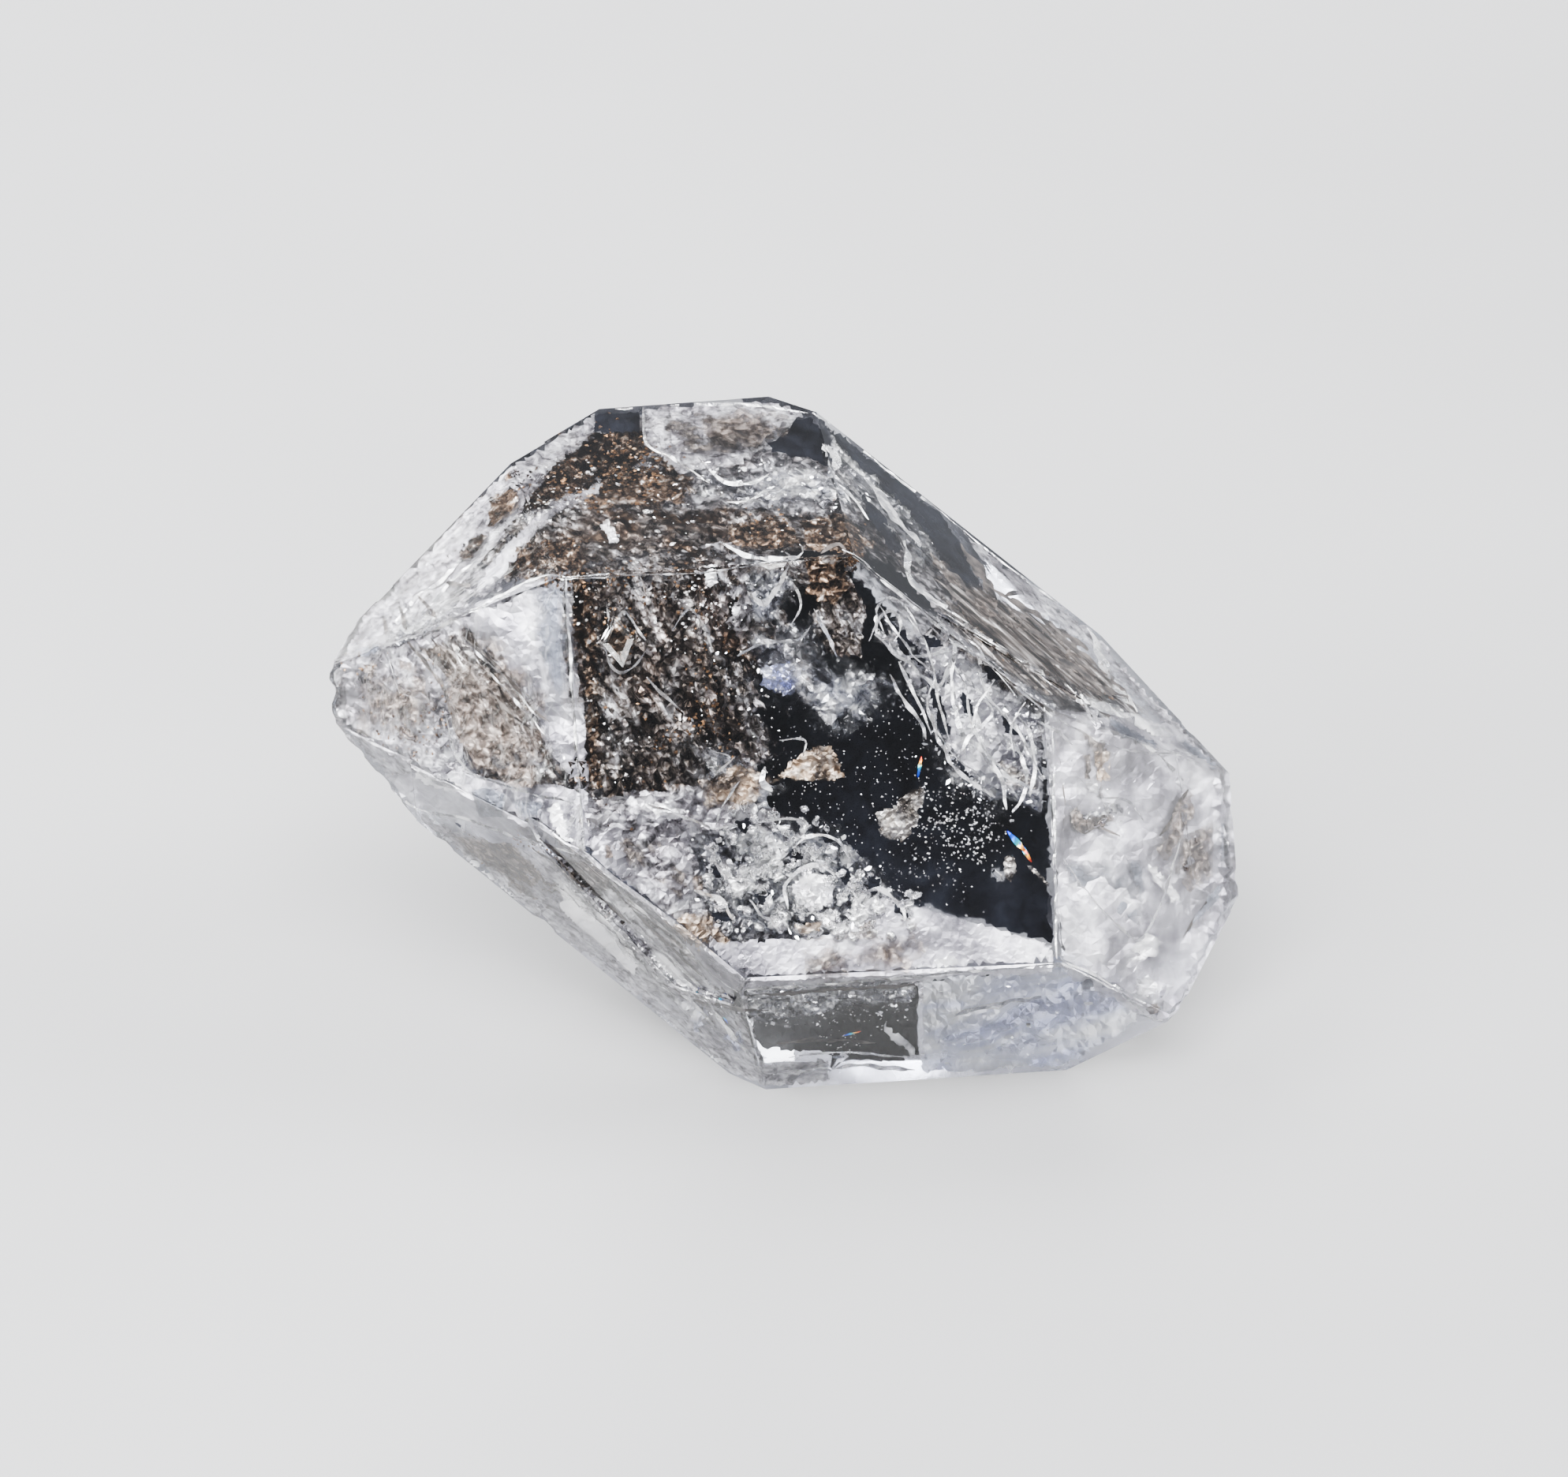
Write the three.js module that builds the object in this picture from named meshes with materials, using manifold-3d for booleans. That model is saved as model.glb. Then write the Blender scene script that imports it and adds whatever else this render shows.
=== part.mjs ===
// A doubly terminated quartz crystal, clear and squat, resting on one of its long side faces.
// Millimetres. +Z is up, +X runs along the long axis, and the large front face looks towards -Y and up.
import * as THREE from "three";
import { ConvexGeometry } from "three/addons/geometries/ConvexGeometry.js";
import { mergeVertices } from "three/addons/utils/BufferGeometryUtils.js";
import Module from "manifold-3d";

const wasm = await Module();
wasm.setup();

// Quartz sets its side faces 60 degrees apart and leans its end faces this many degrees from them.
const END_LEAN = 38.2;

// turn goes round the long axis from the front over the top, lean tips a face towards an end,
// and reach is how far the face stands from the middle of the crystal.
const FACES = {
  front: { turn: 30, lean: 0, reach: 5.5 },
  top: { turn: 90, lean: 0, reach: 7.0 },
  upperBack: { turn: 150, lean: 0, reach: 8.9 },
  back: { turn: 210, lean: 0, reach: 7.5 },
  bottom: { turn: 270, lean: 0, reach: 7.2 },
  lowerFront: { turn: 333, lean: -1.5, reach: 7.75 },
  leftFront: { turn: 30, lean: -END_LEAN, reach: 8.0 },
  leftTop: { turn: 86.5, lean: -35.3, reach: 9.3 },
  leftUpperBack: { turn: 150, lean: -END_LEAN, reach: 9.4 },
  leftBack: { turn: 210, lean: -END_LEAN, reach: 6.45 },
  leftBottom: { turn: 270, lean: -END_LEAN, reach: 6.9 },
  leftLowerFront: { turn: 323.3, lean: -41.6, reach: 7.0 },
  rightFront: { turn: 30, lean: END_LEAN, reach: 8.1 },
  rightTop: { turn: 89, lean: 37.6, reach: 6.5 },
  rightUpperBack: { turn: 150, lean: END_LEAN, reach: 7.35 },
  rightBack: { turn: 210, lean: END_LEAN, reach: 6.15 },
  rightBottom: { turn: 270, lean: END_LEAN, reach: 9.8 },
  rightLowerFront: { turn: 330, lean: END_LEAN, reach: 12.0 },
};

// Growth steps: a patch of a face that stopped growing a little earlier than the rest of it.
// Corners are millimetres along and across the face, and a patch may run off the face's edge.
const LEDGES = [
  { face: "leftLowerFront", drop: 0.12, corners: [[-3.6, -3.9], [3.4, -3.2], [3.2, -1.1], [1.5, 0.2], [-3.0, -2.7]] },
  { face: "leftLowerFront", drop: 0.08, corners: [[-10.2, -2.2], [-7.1, -2.7], [-6.6, 1.1], [-9.0, 1.0]] },
  { face: "leftFront", drop: 0.05, corners: [[-9.4, -3.4], [-7.0, -4.0], [-6.2, -1.0], [-7.2, -0.6], [-9.4, -1.0]] },
  { face: "leftTop", drop: 0.05, corners: [[-8.6, -1.6], [-5.6, -2.9], [-4.9, 0.4], [-8.4, -0.2]] },
  { face: "rightTop", drop: 0.05, corners: [[-0.4, 2.5], [4.4, 2.6], [4.8, 4.2], [-0.7, 4.3]] },
  { face: "rightFront", drop: 0.04, corners: [[6.2, 0.2], [8.8, 0.9], [8.8, 5.6], [6.6, 4.2]] },
  { face: "leftUpperBack", drop: 0.06, corners: [[-4.6, 1.2], [1.2, 2.4], [-0.4, 4.8], [-6.2, 3.2]] },
  { face: "leftBack", drop: 0.05, corners: [[-1.6, 1.4], [4.4, 1.9], [4.4, 6.4], [0.0, 7.9]] },
];

// Hollows left in the faces: length and width in millimetres, spin turns them on the face in degrees.
const PITS = [
  { face: "front", along: -4.7, across: -3.2, length: 1.5, width: 0.9, depth: 0.1, spin: 84, sides: 4 },
  { face: "front", along: -3.3, across: -1.2, length: 0.6, width: 0.35, depth: 0.06, spin: 70, sides: 4 },
  { face: "front", along: -5.1, across: 2.0, length: 0.3, width: 0.28, depth: 0.12, spin: 10, sides: 6 },
  { face: "front", along: 4.6, across: 3.5, length: 0.5, width: 0.22, depth: 0.05, spin: 50, sides: 5 },
  { face: "leftFront", along: -6.4, across: -1.25, length: 0.75, width: 0.3, depth: 0.16, spin: 35, sides: 6 },
  { face: "leftFront", along: -6.4, across: -2.1, length: 0.42, width: 0.3, depth: 0.1, spin: -20, sides: 5 },
  { face: "leftFront", along: -7.4, across: -2.7, length: 0.5, width: 0.34, depth: 0.12, spin: 60, sides: 6 },
  { face: "leftFront", along: -8.0, across: -1.9, length: 0.4, width: 0.26, depth: 0.1, spin: 15, sides: 5 },
  { face: "leftFront", along: -5.2, across: -1.3, length: 0.6, width: 0.2, depth: 0.08, spin: 80, sides: 5 },
  { face: "leftTop", along: -5.7, across: -0.8, length: 0.5, width: 0.16, depth: 0.12, spin: 75, sides: 5 },
  { face: "leftTop", along: -5.2, across: -0.5, length: 0.6, width: 0.14, depth: 0.12, spin: 60, sides: 5 },
  { face: "leftTop", along: -4.6, across: -0.3, length: 0.4, width: 0.16, depth: 0.1, spin: 95, sides: 5 },
  { face: "leftLowerFront", along: -2.7, across: 0.9, length: 0.4, width: 0.2, depth: 0.1, spin: 30, sides: 6 },
  { face: "leftLowerFront", along: -5.4, across: -0.6, length: 0.34, width: 0.22, depth: 0.08, spin: 0, sides: 5 },
  { face: "rightFront", along: 3.2, across: 2.4, length: 0.7, width: 0.16, depth: 0.08, spin: -20, sides: 5 },
  { face: "rightFront", along: 3.6, across: 2.1, length: 0.35, width: 0.2, depth: 0.08, spin: 60, sides: 5 },
  { face: "rightFront", along: 6.3, across: 3.8, length: 0.36, width: 0.24, depth: 0.1, spin: 20, sides: 5 },
  { face: "rightFront", along: 6.8, across: 3.1, length: 0.3, width: 0.2, depth: 0.08, spin: 80, sides: 6 },
  { face: "rightFront", along: 5.1, across: 6.9, length: 0.5, width: 0.2, depth: 0.18, spin: -50, sides: 6 },
  { face: "lowerFront", along: 0.8, across: 2.7, length: 0.5, width: 0.2, depth: 0.06, spin: 0, sides: 4 },
  { face: "upperBack", along: -2.2, across: -1.4, length: 0.7, width: 0.4, depth: 0.1, spin: 90, sides: 4 },
  { face: "leftBack", along: -5.4, across: 2.0, length: 0.8, width: 0.5, depth: 0.14, spin: 40, sides: 6 },
  { face: "rightBack", along: 5.2, across: 0.4, length: 0.9, width: 0.4, depth: 0.12, spin: 100, sides: 5 },
];

// Chips out of an edge, and lumps on it, where two faces meet. The place is where the edge
// crosses the given x or z, size is the radius and bite is how deep or proud it is.
const CHIPS = [
  { faces: ["leftLowerFront", "leftBack"], at: { z: 0.9 }, size: 0.45, bite: 0.14 },
  { faces: ["leftLowerFront", "leftBack"], at: { z: 0.0 }, size: 0.6, bite: 0.2 },
  { faces: ["leftLowerFront", "leftBack"], at: { z: -0.6 }, size: 0.4, bite: 0.12 },
  { faces: ["leftLowerFront", "leftBottom"], at: { x: -6.5 }, size: 0.7, bite: 0.13 },
  { faces: ["leftLowerFront", "leftBottom"], at: { x: -8.9 }, size: 0.5, bite: 0.1 },
  { faces: ["leftFront", "leftBack"], at: { z: 2.6 }, size: 0.3, bite: 0.12 },
  { faces: ["leftFront", "leftBack"], at: { z: 3.3 }, size: 0.5, bite: 0.16 },
  { faces: ["leftTop", "leftUpperBack"], at: { x: -11.1 }, size: 0.6, bite: 0.14 },
  { faces: ["leftFront", "leftTop"], at: { x: -10.6 }, size: 0.5, bite: 0.12 },
  { faces: ["leftFront", "leftLowerFront"], at: { x: -10.9 }, size: 0.5, bite: 0.12 },
  { faces: ["leftFront", "leftLowerFront"], at: { x: -9.3 }, size: 0.4, bite: 0.07 },
  { faces: ["rightFront", "rightBack"], at: { z: -1.5 }, size: 0.4, bite: 0.1 },
  { faces: ["rightFront", "rightBack"], at: { z: -3.0 }, size: 0.5, bite: 0.12 },
  { faces: ["rightFront", "rightBottom"], at: { x: 9.6 }, size: 0.6, bite: 0.1 },
  { faces: ["rightTop", "rightBack"], at: { x: 10.6 }, size: 0.5, bite: 0.1 },
  { faces: ["front", "top"], at: { x: -1.6 }, size: 0.4, bite: 0.05 },
  { faces: ["leftBack", "leftUpperBack"], at: { x: -8.6 }, size: 0.7, bite: 0.16 },
];
const LUMPS = [
  { faces: ["leftFront", "leftBack"], at: { z: 2.2 }, size: 0.42, bite: 0.06 },
  { faces: ["leftFront", "leftBack"], at: { z: 2.9 }, size: 0.34, bite: 0.05 },
  { faces: ["leftFront", "leftLowerFront"], at: { x: -11.2 }, size: 0.4, bite: 0.05 },
  { faces: ["leftLowerFront", "leftBack"], at: { z: 1.3 }, size: 0.35, bite: 0.04 },
];

const CLEAR = 0.3;
const PIT_FLOOR = 0.55;

const frames = new Map();
for (const [name, { turn, lean, reach }] of Object.entries(FACES)) {
  const t = THREE.MathUtils.degToRad(turn);
  const l = THREE.MathUtils.degToRad(lean);
  const out = new THREE.Vector3(Math.sin(l), -Math.cos(l) * Math.cos(t), Math.cos(l) * Math.sin(t));
  const across = new THREE.Vector3(1, 0, 0).cross(out).normalize();
  const along = out.clone().cross(across);
  frames.set(name, { out, along, across, reach });
}

function onFace(name, along, across, height) {
  const f = frames.get(name);
  return new THREE.Vector3()
    .addScaledVector(f.out, f.reach + height)
    .addScaledVector(f.along, along)
    .addScaledVector(f.across, across);
}

// The point that lies on three planes, each given by its normal and reach.
function meet(a, b, c) {
  const bc = b.out.clone().cross(c.out);
  const det = a.out.dot(bc);
  if (Math.abs(det) < 1e-6) return null;
  return bc
    .multiplyScalar(a.reach)
    .addScaledVector(c.out.clone().cross(a.out), b.reach)
    .addScaledVector(a.out.clone().cross(b.out), c.reach)
    .divideScalar(det);
}

function solid(geometry) {
  const bare = new THREE.BufferGeometry().setAttribute("position", geometry.getAttribute("position"));
  if (geometry.index) bare.setIndex(geometry.index);
  const merged = mergeVertices(bare, 1e-5);
  const triVerts = new Uint32Array(merged.index.array);
  return new wasm.Manifold(
    new wasm.Mesh({ numProp: 3, vertProperties: merged.attributes.position.array, triVerts }),
  );
}

// Every corner of the crystal is a meeting of three faces that no other face cuts off.
function crystalCorners() {
  const planes = [...frames.values()];
  const corners = [];
  for (let i = 0; i < planes.length; i++)
    for (let j = i + 1; j < planes.length; j++)
      for (let k = j + 1; k < planes.length; k++) {
        const p = meet(planes[i], planes[j], planes[k]);
        if (!p || planes.some((f) => f.out.dot(p) > f.reach + 1e-6)) continue;
        if (!corners.some((q) => q.distanceTo(p) < 1e-4)) corners.push(p);
      }
  return corners;
}

function ledge({ face, drop, corners }) {
  const points = [];
  for (const [along, across] of corners) {
    points.push(onFace(face, along, across, CLEAR));
    points.push(onFace(face, along, across, -drop));
  }
  return solid(new ConvexGeometry(points));
}

function pit({ face, along, across, length, width, depth, spin, sides }) {
  const points = [];
  const s = THREE.MathUtils.degToRad(spin);
  for (let i = 0; i < sides; i++) {
    const a = (2 * Math.PI * i) / sides;
    for (const [scale, height] of [[1.1, CLEAR / 6], [PIT_FLOOR, -depth]]) {
      const u = (Math.cos(a) * length * scale) / 2;
      const v = (Math.sin(a) * width * scale) / 2;
      const du = u * Math.cos(s) - v * Math.sin(s);
      const dv = u * Math.sin(s) + v * Math.cos(s);
      points.push(onFace(face, along + du, across + dv, height));
    }
  }
  return solid(new ConvexGeometry(points));
}

// A faceted ball on the edge of two faces, its centre moved out of the crystal, or into it for a lump.
function edgeBall({ faces, at, size, bite }, side) {
  const [a, b] = faces.map((name) => frames.get(name));
  const cutX = at.x !== undefined;
  const axis = cutX ? new THREE.Vector3(1, 0, 0) : new THREE.Vector3(0, 0, 1);
  const place = meet(a, b, { out: axis, reach: cutX ? at.x : at.z });
  const outward = a.out.clone().add(b.out).normalize();
  const ball = new THREE.IcosahedronGeometry(size, 1);
  ball.rotateX(place.z);
  ball.rotateZ(place.x);
  const centre = place.addScaledVector(outward, side * (size - bite));
  ball.translate(centre.x, centre.y, centre.z);
  return solid(ball);
}

let body = solid(new ConvexGeometry(crystalCorners()));
for (const lump of LUMPS) body = body.add(edgeBall(lump, -1));
for (const step of LEDGES) body = body.subtract(ledge(step));
for (const hollow of PITS) body = body.subtract(pit(hollow));
for (const chip of CHIPS) body = body.subtract(edgeBall(chip, 1));

const made = body.getMesh();
const joined = new THREE.BufferGeometry();
joined.setAttribute("position", new THREE.BufferAttribute(new Float32Array(made.vertProperties), 3));
joined.setIndex(new THREE.BufferAttribute(made.triVerts, 1));
const crystalShape = joined.toNonIndexed();

// The origin is the middle of the crystal's box, at the height it rests on.
crystalShape.computeBoundingBox();
const box = crystalShape.boundingBox;
crystalShape.translate(-(box.min.x + box.max.x) / 2, -(box.min.y + box.max.y) / 2, -box.min.z);
crystalShape.computeVertexNormals();

const quartz = new THREE.MeshStandardMaterial({ color: 0xe6e8ec, roughness: 0.08, transparent: true, opacity: 0.35 });
const crystal = new THREE.Mesh(crystalShape, quartz);
crystal.name = "crystal";

const herkimer = new THREE.Group();
herkimer.add(crystal);
export default herkimer;
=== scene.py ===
import math
import random
import bmesh
import bpy
from mathutils import Matrix, Vector, noise
from mathutils.bvhtree import BVHTree


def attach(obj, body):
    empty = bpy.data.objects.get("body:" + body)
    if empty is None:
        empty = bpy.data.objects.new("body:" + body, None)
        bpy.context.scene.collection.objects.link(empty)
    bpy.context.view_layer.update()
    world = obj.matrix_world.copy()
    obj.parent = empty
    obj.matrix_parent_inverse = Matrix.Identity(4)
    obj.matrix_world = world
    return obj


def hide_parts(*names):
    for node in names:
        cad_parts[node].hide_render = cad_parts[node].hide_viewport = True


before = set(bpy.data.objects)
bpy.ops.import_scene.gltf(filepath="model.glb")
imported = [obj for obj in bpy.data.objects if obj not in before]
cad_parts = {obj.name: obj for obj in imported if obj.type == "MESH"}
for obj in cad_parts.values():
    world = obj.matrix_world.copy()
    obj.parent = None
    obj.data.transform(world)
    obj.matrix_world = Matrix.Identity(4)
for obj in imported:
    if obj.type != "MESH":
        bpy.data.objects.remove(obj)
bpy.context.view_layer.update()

MM = 0.001
QUARTZ_IOR = 1.544

# The photograph's camera: turned a little to the left of the front, looking down.
VIEW_TURN = math.radians(-8.5)
VIEW_HEIGHT = math.radians(31.0)
VIEW_DISTANCE = 320 * MM
VIEW_WIDTH = 40.74 * MM
PHOTO_WIDTH, PHOTO_HEIGHT = 1988, 1872
PIXEL = VIEW_WIDTH / PHOTO_WIDTH
BACK = Vector((
    math.sin(VIEW_TURN) * math.cos(VIEW_HEIGHT),
    -math.cos(VIEW_TURN) * math.cos(VIEW_HEIGHT),
    math.sin(VIEW_HEIGHT),
))
RIGHT = Vector((math.cos(VIEW_TURN), math.sin(VIEW_TURN), 0))
UP = BACK.cross(RIGHT)
# The middle of the crystal, from which its faces are measured.
MIDDLE = Vector((0.08, -0.887, 7.2)) * MM
EYE = MIDDLE + BACK * VIEW_DISTANCE + RIGHT * 0.08 * MM + UP * 0.29 * MM

# The key light, which the glints mirror.
KEY_PLACE = Vector((-0.07, -0.19, 0.32))

# What is sealed in the crystal keeps this far inside along the sight line, and this far from any face.
LEAST_COVER = 0.12 * MM
LEAST_CLEARANCE = 0.02 * MM
# Nothing is placed where a sight line runs through less quartz than this.
THINNEST_QUARTZ = 0.3 * MM
# A thread breaks off where its next point is further away than this.
LONGEST_LINK = 1.2 * MM
EDGE_WEAR = 0.03 * MM

# What lies inside the crystal is placed by where the photograph shows it. Outlines and paths are
# x,y pixels of the photograph. Depth is millimetres behind the near face, along the sight line bent by
# the quartz, and a depth past the far side puts a thing just inside the faces there.

# How a small sheet lies: lean across and down, fold, jag, and the step of its grid.
THIN = (0.05, 0.05), 0.05, 0.01, 4
THIN_FINE = (0.05, 0.05), 0.05, 0.01, 3
UNEVEN = (0.05, 0.05), 0.1, 0.03, 4
SMOOTH = (0.1, 0.1), 0.1, 0.01, 4
WAVED = (0.1, 0.1), 0.1, 0.02, 4
GAP = (0.05, 0.05), 0.1, 0.02, 3
BEHIND = 60

# Fractures and films, by kind: outline, depth, how many millimetres it leans across and down, folds
# and is jagged by, then in pixels the step of its grid, and how far its rim wanders and thins out.
SHEETS = {}
SHEETS["cloud"] = [
    ("716,728 900,716 990,716 960,800 930,900 960,1000 1040,1090 1100,1170 1200,1180 1338,1216 930,1246 "
     "742,1080", 3.0, (1.2, 0.8), 0.9, 0.16, 7, 10, 40),
    ("630,745 640,650 700,580 760,524 900,516 1020,530 1080,600 1120,690 1020,700 720,722",
     2.2, (1.0, 0.4), 0.9, 0.16, 7, 10, 26),
    ("1060,600 1200,690 1260,760 1420,880 1540,970 1440,950 1320,890 1180,790 1100,700",
     1.6, (0.6, 0.4), 0.6, 0.12, 7, 14, 40),
]
SHEETS["lace"] = [
    ("822,520 890,512 960,520 1020,530 1010,560 950,592 870,590 830,566",
     0.28, (0.1, 0.1), 0.2, 0.05, 4, 8, 18),
    ("1225,775 1290,770 1345,795 1410,850 1430,895 1340,872 1270,830", 0.25, (0.2, 0.1), 0.2, 0.05, 4, 8, 16),
    ("1075,650 1110,660 1160,720 1150,750 1100,700", 0.3, (0.2, 0.1), 0.2, 0.05, 4, 6, 12),
    ("560,850 600,850 680,920 735,1000 690,1010 620,985 580,940", 0.35, (0.2, 0.1), 0.2, 0.05, 4, 10, 20),
    ("1350,940 1420,950 1440,1040 1360,1060", 0.3, (0.1, 0.1), 0.2, 0.04, 4, 10, 44),
    ("1470,1000 1540,1000 1560,1100 1520,1180 1480,1120", 0.3, (0.1, 0.1), 0.2, 0.04, 4, 10, 50),
    ("440,840 520,850 560,920 500,950 440,910", 0.2, *WAVED, 10, 30),
    ("620,700 700,620 640,600 560,690 540,740 590,740", 0.4, (0.1, 0.1), 0.2, 0.05, 4, 8, 20),
    ("750,1040 860,1040 900,1120 860,1190 790,1120", 0.3, (0.1, 0.1), 0.2, 0.05, 4, 10, 26),
]
SHEETS["crackle"] = [
    ("690,728 860,716 1020,716 1000,800 970,870 1020,950 960,985 880,1010 715,1010",
     1.9, (1.6, 0.6), 0.9, 0.24, 5, 14, 46),
    ("716,734 900,725 970,880 900,970 742,990", 0.9, (1.0, 0.5), 0.7, 0.2, 5, 30, 90),
    ("738,930 880,920 970,985 920,1050 746,1060", 0.8, (1.2, 0.8), 0.5, 0.18, 5, 20, 50),
    ("640,640 730,632 930,632 1060,645 1080,700 900,712 725,720 635,745",
     1.3, (1.4, -0.4), 0.6, 0.22, 5, 14, 30),
    ("590,700 640,620 680,595 665,660 620,730", 0.7, (0.2, 0.2), 0.3, 0.14, 4, 10, 16),
    ("1235,765 1320,775 1420,860 1440,900 1360,890 1280,830", 0.9, (0.3, 0.1), 0.3, 0.16, 4, 12, 30),
    ("1036,740 1080,730 1102,770 1094,838 1045,832 1026,790", 0.6, (0.3, 0.4), 0.2, 0.16, 4, 8, 12),
]
SHEETS["brown"] = [
    ("596,650 650,596 676,600 640,660 610,690 590,690", 0.5, (0.2, 0.2), 0.3, 0.2, 4, 8, 14),
    ("560,706 596,680 610,700 570,726", 0.4, (0.2, 0.2), 0.2, 0.1, 4, 5, 8),
    ("640,645 650,600 700,560 780,530 840,540 820,600 740,636 690,655", 0.9, (0.6, 0.4), 0.7, 0.34, 4, 14, 26),
    ("770,585 860,570 900,620 860,650 760,655 690,655", 1.5, (0.6, 0.2), 0.3, 0.12, 5, 12, 26),
    ("634,740 645,685 735,675 750,730 700,740", 0.5, (0.4, 0.1), 0.4, 0.24, 4, 10, 20),
    ("920,660 1000,655 1025,692 960,704 920,690", 0.6, (0.3, 0.1), 0.3, 0.12, 4, 8, 14),
    ("1014,655 1060,645 1120,690 1080,708 1016,702", 0.5, (0.3, 0.1), 0.2, 0.12, 4, 8, 14),
    ("1016,706 1070,702 1085,740 1060,770 1020,755", 0.35, (0.3, 0.1), 0.2, 0.1, 4, 6, 10),
    ("734,745 760,742 770,1000 742,1010", 0.6, (0.2, 0.4), 0.3, 0.2, 4, 10, 16),
    ("764,815 782,774 802,812 786,852", 0.3, (0.1, 0.1), 0.1, 0.06, 4, 2, 4),
    ("612,668 618,636 646,614 662,624 650,650 628,672", 0.14, (0.05, 0.05), 0.1, 0.04, 3, 7, 9),
    ("578,708 590,682 612,672 622,680 604,704 586,716", 0.14, (0.05, 0.05), 0.1, 0.04, 3, 8, 9),
    ("1196,742 1262,786 1320,818 1384,864 1396,880 1350,868 1290,840 1228,794",
     0.2, (0.05, 0.05), 0.1, 0.05, 3, 6, 8),
]
SHEETS["tan"] = [
    ("998,962 1035,942 1058,943 1074,987 1030,992 982,987", 0.6, (0.4, 0.1), 0.2, 0.06, 4, 4, 5),
    ("1383,950 1412,948 1410,990 1390,995", 0.2, (0.1, 0.1), 0.1, 0.03, 4, 3, 4),
    ("1005,1168 1045,1165 1040,1185 1010,1185", 0.25, (0.1, 0.1), 0.1, 0.04, 4, 3, 5),
    ("835,1165 900,1150 935,1195 880,1215", 0.5, (0.1, 0.1), 0.2, 0.1, 4, 8, 12),
    ("1150,1160 1260,1185 1220,1210 1170,1195", 1.0, (0.1, 0.1), 0.2, 0.06, 5, 12, 20),
    ("880,990 930,965 1000,985 960,1020 900,1030", 0.5, (0.2, 0.2), 0.3, 0.08, 4, 8, 16),
]
SHEETS["cream"] = [
    ("1108,1030 1140,1012 1150,1002 1170,992 1176,1006 1165,1050 1145,1074 1110,1056",
     0.45, (0.3, 0.1), 0.2, 0.08, 4, 3, 4),
    ("1270,1085 1285,1078 1292,1100 1282,1122 1270,1112", 0.5, (0.1, 0.1), 0.1, 0.05, 3, 2, 3),
    ("1298,1096 1306,1094 1332,1118 1330,1126", 0.5, (0.1, 0.1), 0.1, 0.03, 3, 2, 2),
    ("1262,960 1300,965 1322,990 1318,1010 1270,1000", 0.6, (0.1, 0.1), 0.2, 0.06, 4, 6, 12),
]
SHEETS["silver"] = [
    ("1104,770 1150,772 1245,845 1332,900 1330,1035 1260,1035 1200,1010 1165,940 1145,860 1106,815",
     1.1, (0.5, 0.8), 1.3, 0.1, 5, 18, 30),
    ("1160,830 1240,860 1328,930 1328,1010 1230,1000 1190,930", 2.0, (0.6, 0.8), 1.4, 0.1, 5, 18, 36),
    ("938,722 990,712 1012,730 990,795 950,795", 0.8, (0.4, 0.6), 0.9, 0.06, 4, 8, 16),
    ("930,800 1040,770 1060,830 1150,850 1140,910 1050,940 985,900 930,870",
     1.5, (0.4, 0.6), 1.2, 0.08, 5, 16, 40),
    ("870,585 960,590 1030,580 1120,640 1060,655 940,650 880,635", 1.0, (0.6, 0.3), 1.0, 0.12, 5, 12, 20),
    ("1040,560 1090,580 1200,690 1235,765 1160,720 1080,630", 0.8, (0.4, 0.3), 0.9, 0.08, 5, 14, 26),
    ("870,1045 960,1025 1060,1045 1170,1145 1125,1195 1010,1198 900,1205 860,1120",
     1.3, (0.4, 0.3), 1.0, 0.28, 5, 14, 24),
    ("880,930 960,950 1000,1010 930,1030 880,1000", 0.8, (0.5, 0.4), 0.7, 0.12, 5, 12, 24),
    ("700,1095 840,1190 935,1285 905,1315 800,1245 690,1130", 0.6, (0.3, 0.3), 0.6, 0.18, 5, 10, 18),
    ("935,1248 1060,1238 1166,1240 1166,1270 1040,1292 945,1305", 0.5, (0.3, 0.2), 0.4, 0.18, 4, 8, 12),
    ("580,950 680,935 725,990 640,990", 0.6, (0.3, 0.2), 0.5, 0.18, 4, 8, 16),
    ("1030,525 1080,560 1180,650 1240,730 1200,730 1110,640 1050,570", 0.4, (0.3, 0.3), 0.5, 0.1, 4, 8, 14),
    ("1350,1020 1440,1010 1430,1060 1360,1060", 0.3, (0.3, 0.2), 0.3, 0.12, 4, 8, 18),
    ("1360,870 1430,890 1500,950 1440,950 1380,920", 0.4, (0.3, 0.2), 0.3, 0.1, 4, 8, 16),
    ("470,800 560,760 575,800 490,830", 0.4, (0.3, 0.2), 0.3, 0.16, 4, 8, 14),
]
SHEETS["streaks"] = [
    ("556,860 640,840 700,920 738,1000 700,1020 600,1010 575,950", 1.4, (0.6, 0.3), 0.6, 0.12, 5, 10, 20),
    ("540,800 600,770 650,830 720,950 722,1000 640,985 590,940", 0.7, (0.6, 0.3), 0.6, 0.1, 5, 12, 26),
    ("1170,740 1250,770 1420,860 1500,930 1400,900 1320,890 1230,830", 0.5, (0.3, 0.2), 0.3, 0.08, 5, 10, 18),
    ("690,1080 750,1090 915,1235 925,1255 840,1220 760,1150", 0.3, (0.3, 0.3), 0.3, 0.08, 4, 6, 8),
    ("600,620 640,600 560,720 500,780 470,800 540,710", 0.4, (0.3, 0.2), 0.3, 0.08, 5, 8, 12),
    ("1190,735 1246,740 1310,772 1376,822 1420,866 1400,886 1340,868 1280,838 1225,796", 0.14, *UNEVEN, 8, 14),
    ("530,822 556,808 600,840 660,905 700,950 676,952 620,906 566,862", 0.14, *UNEVEN, 8, 12),
]
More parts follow.
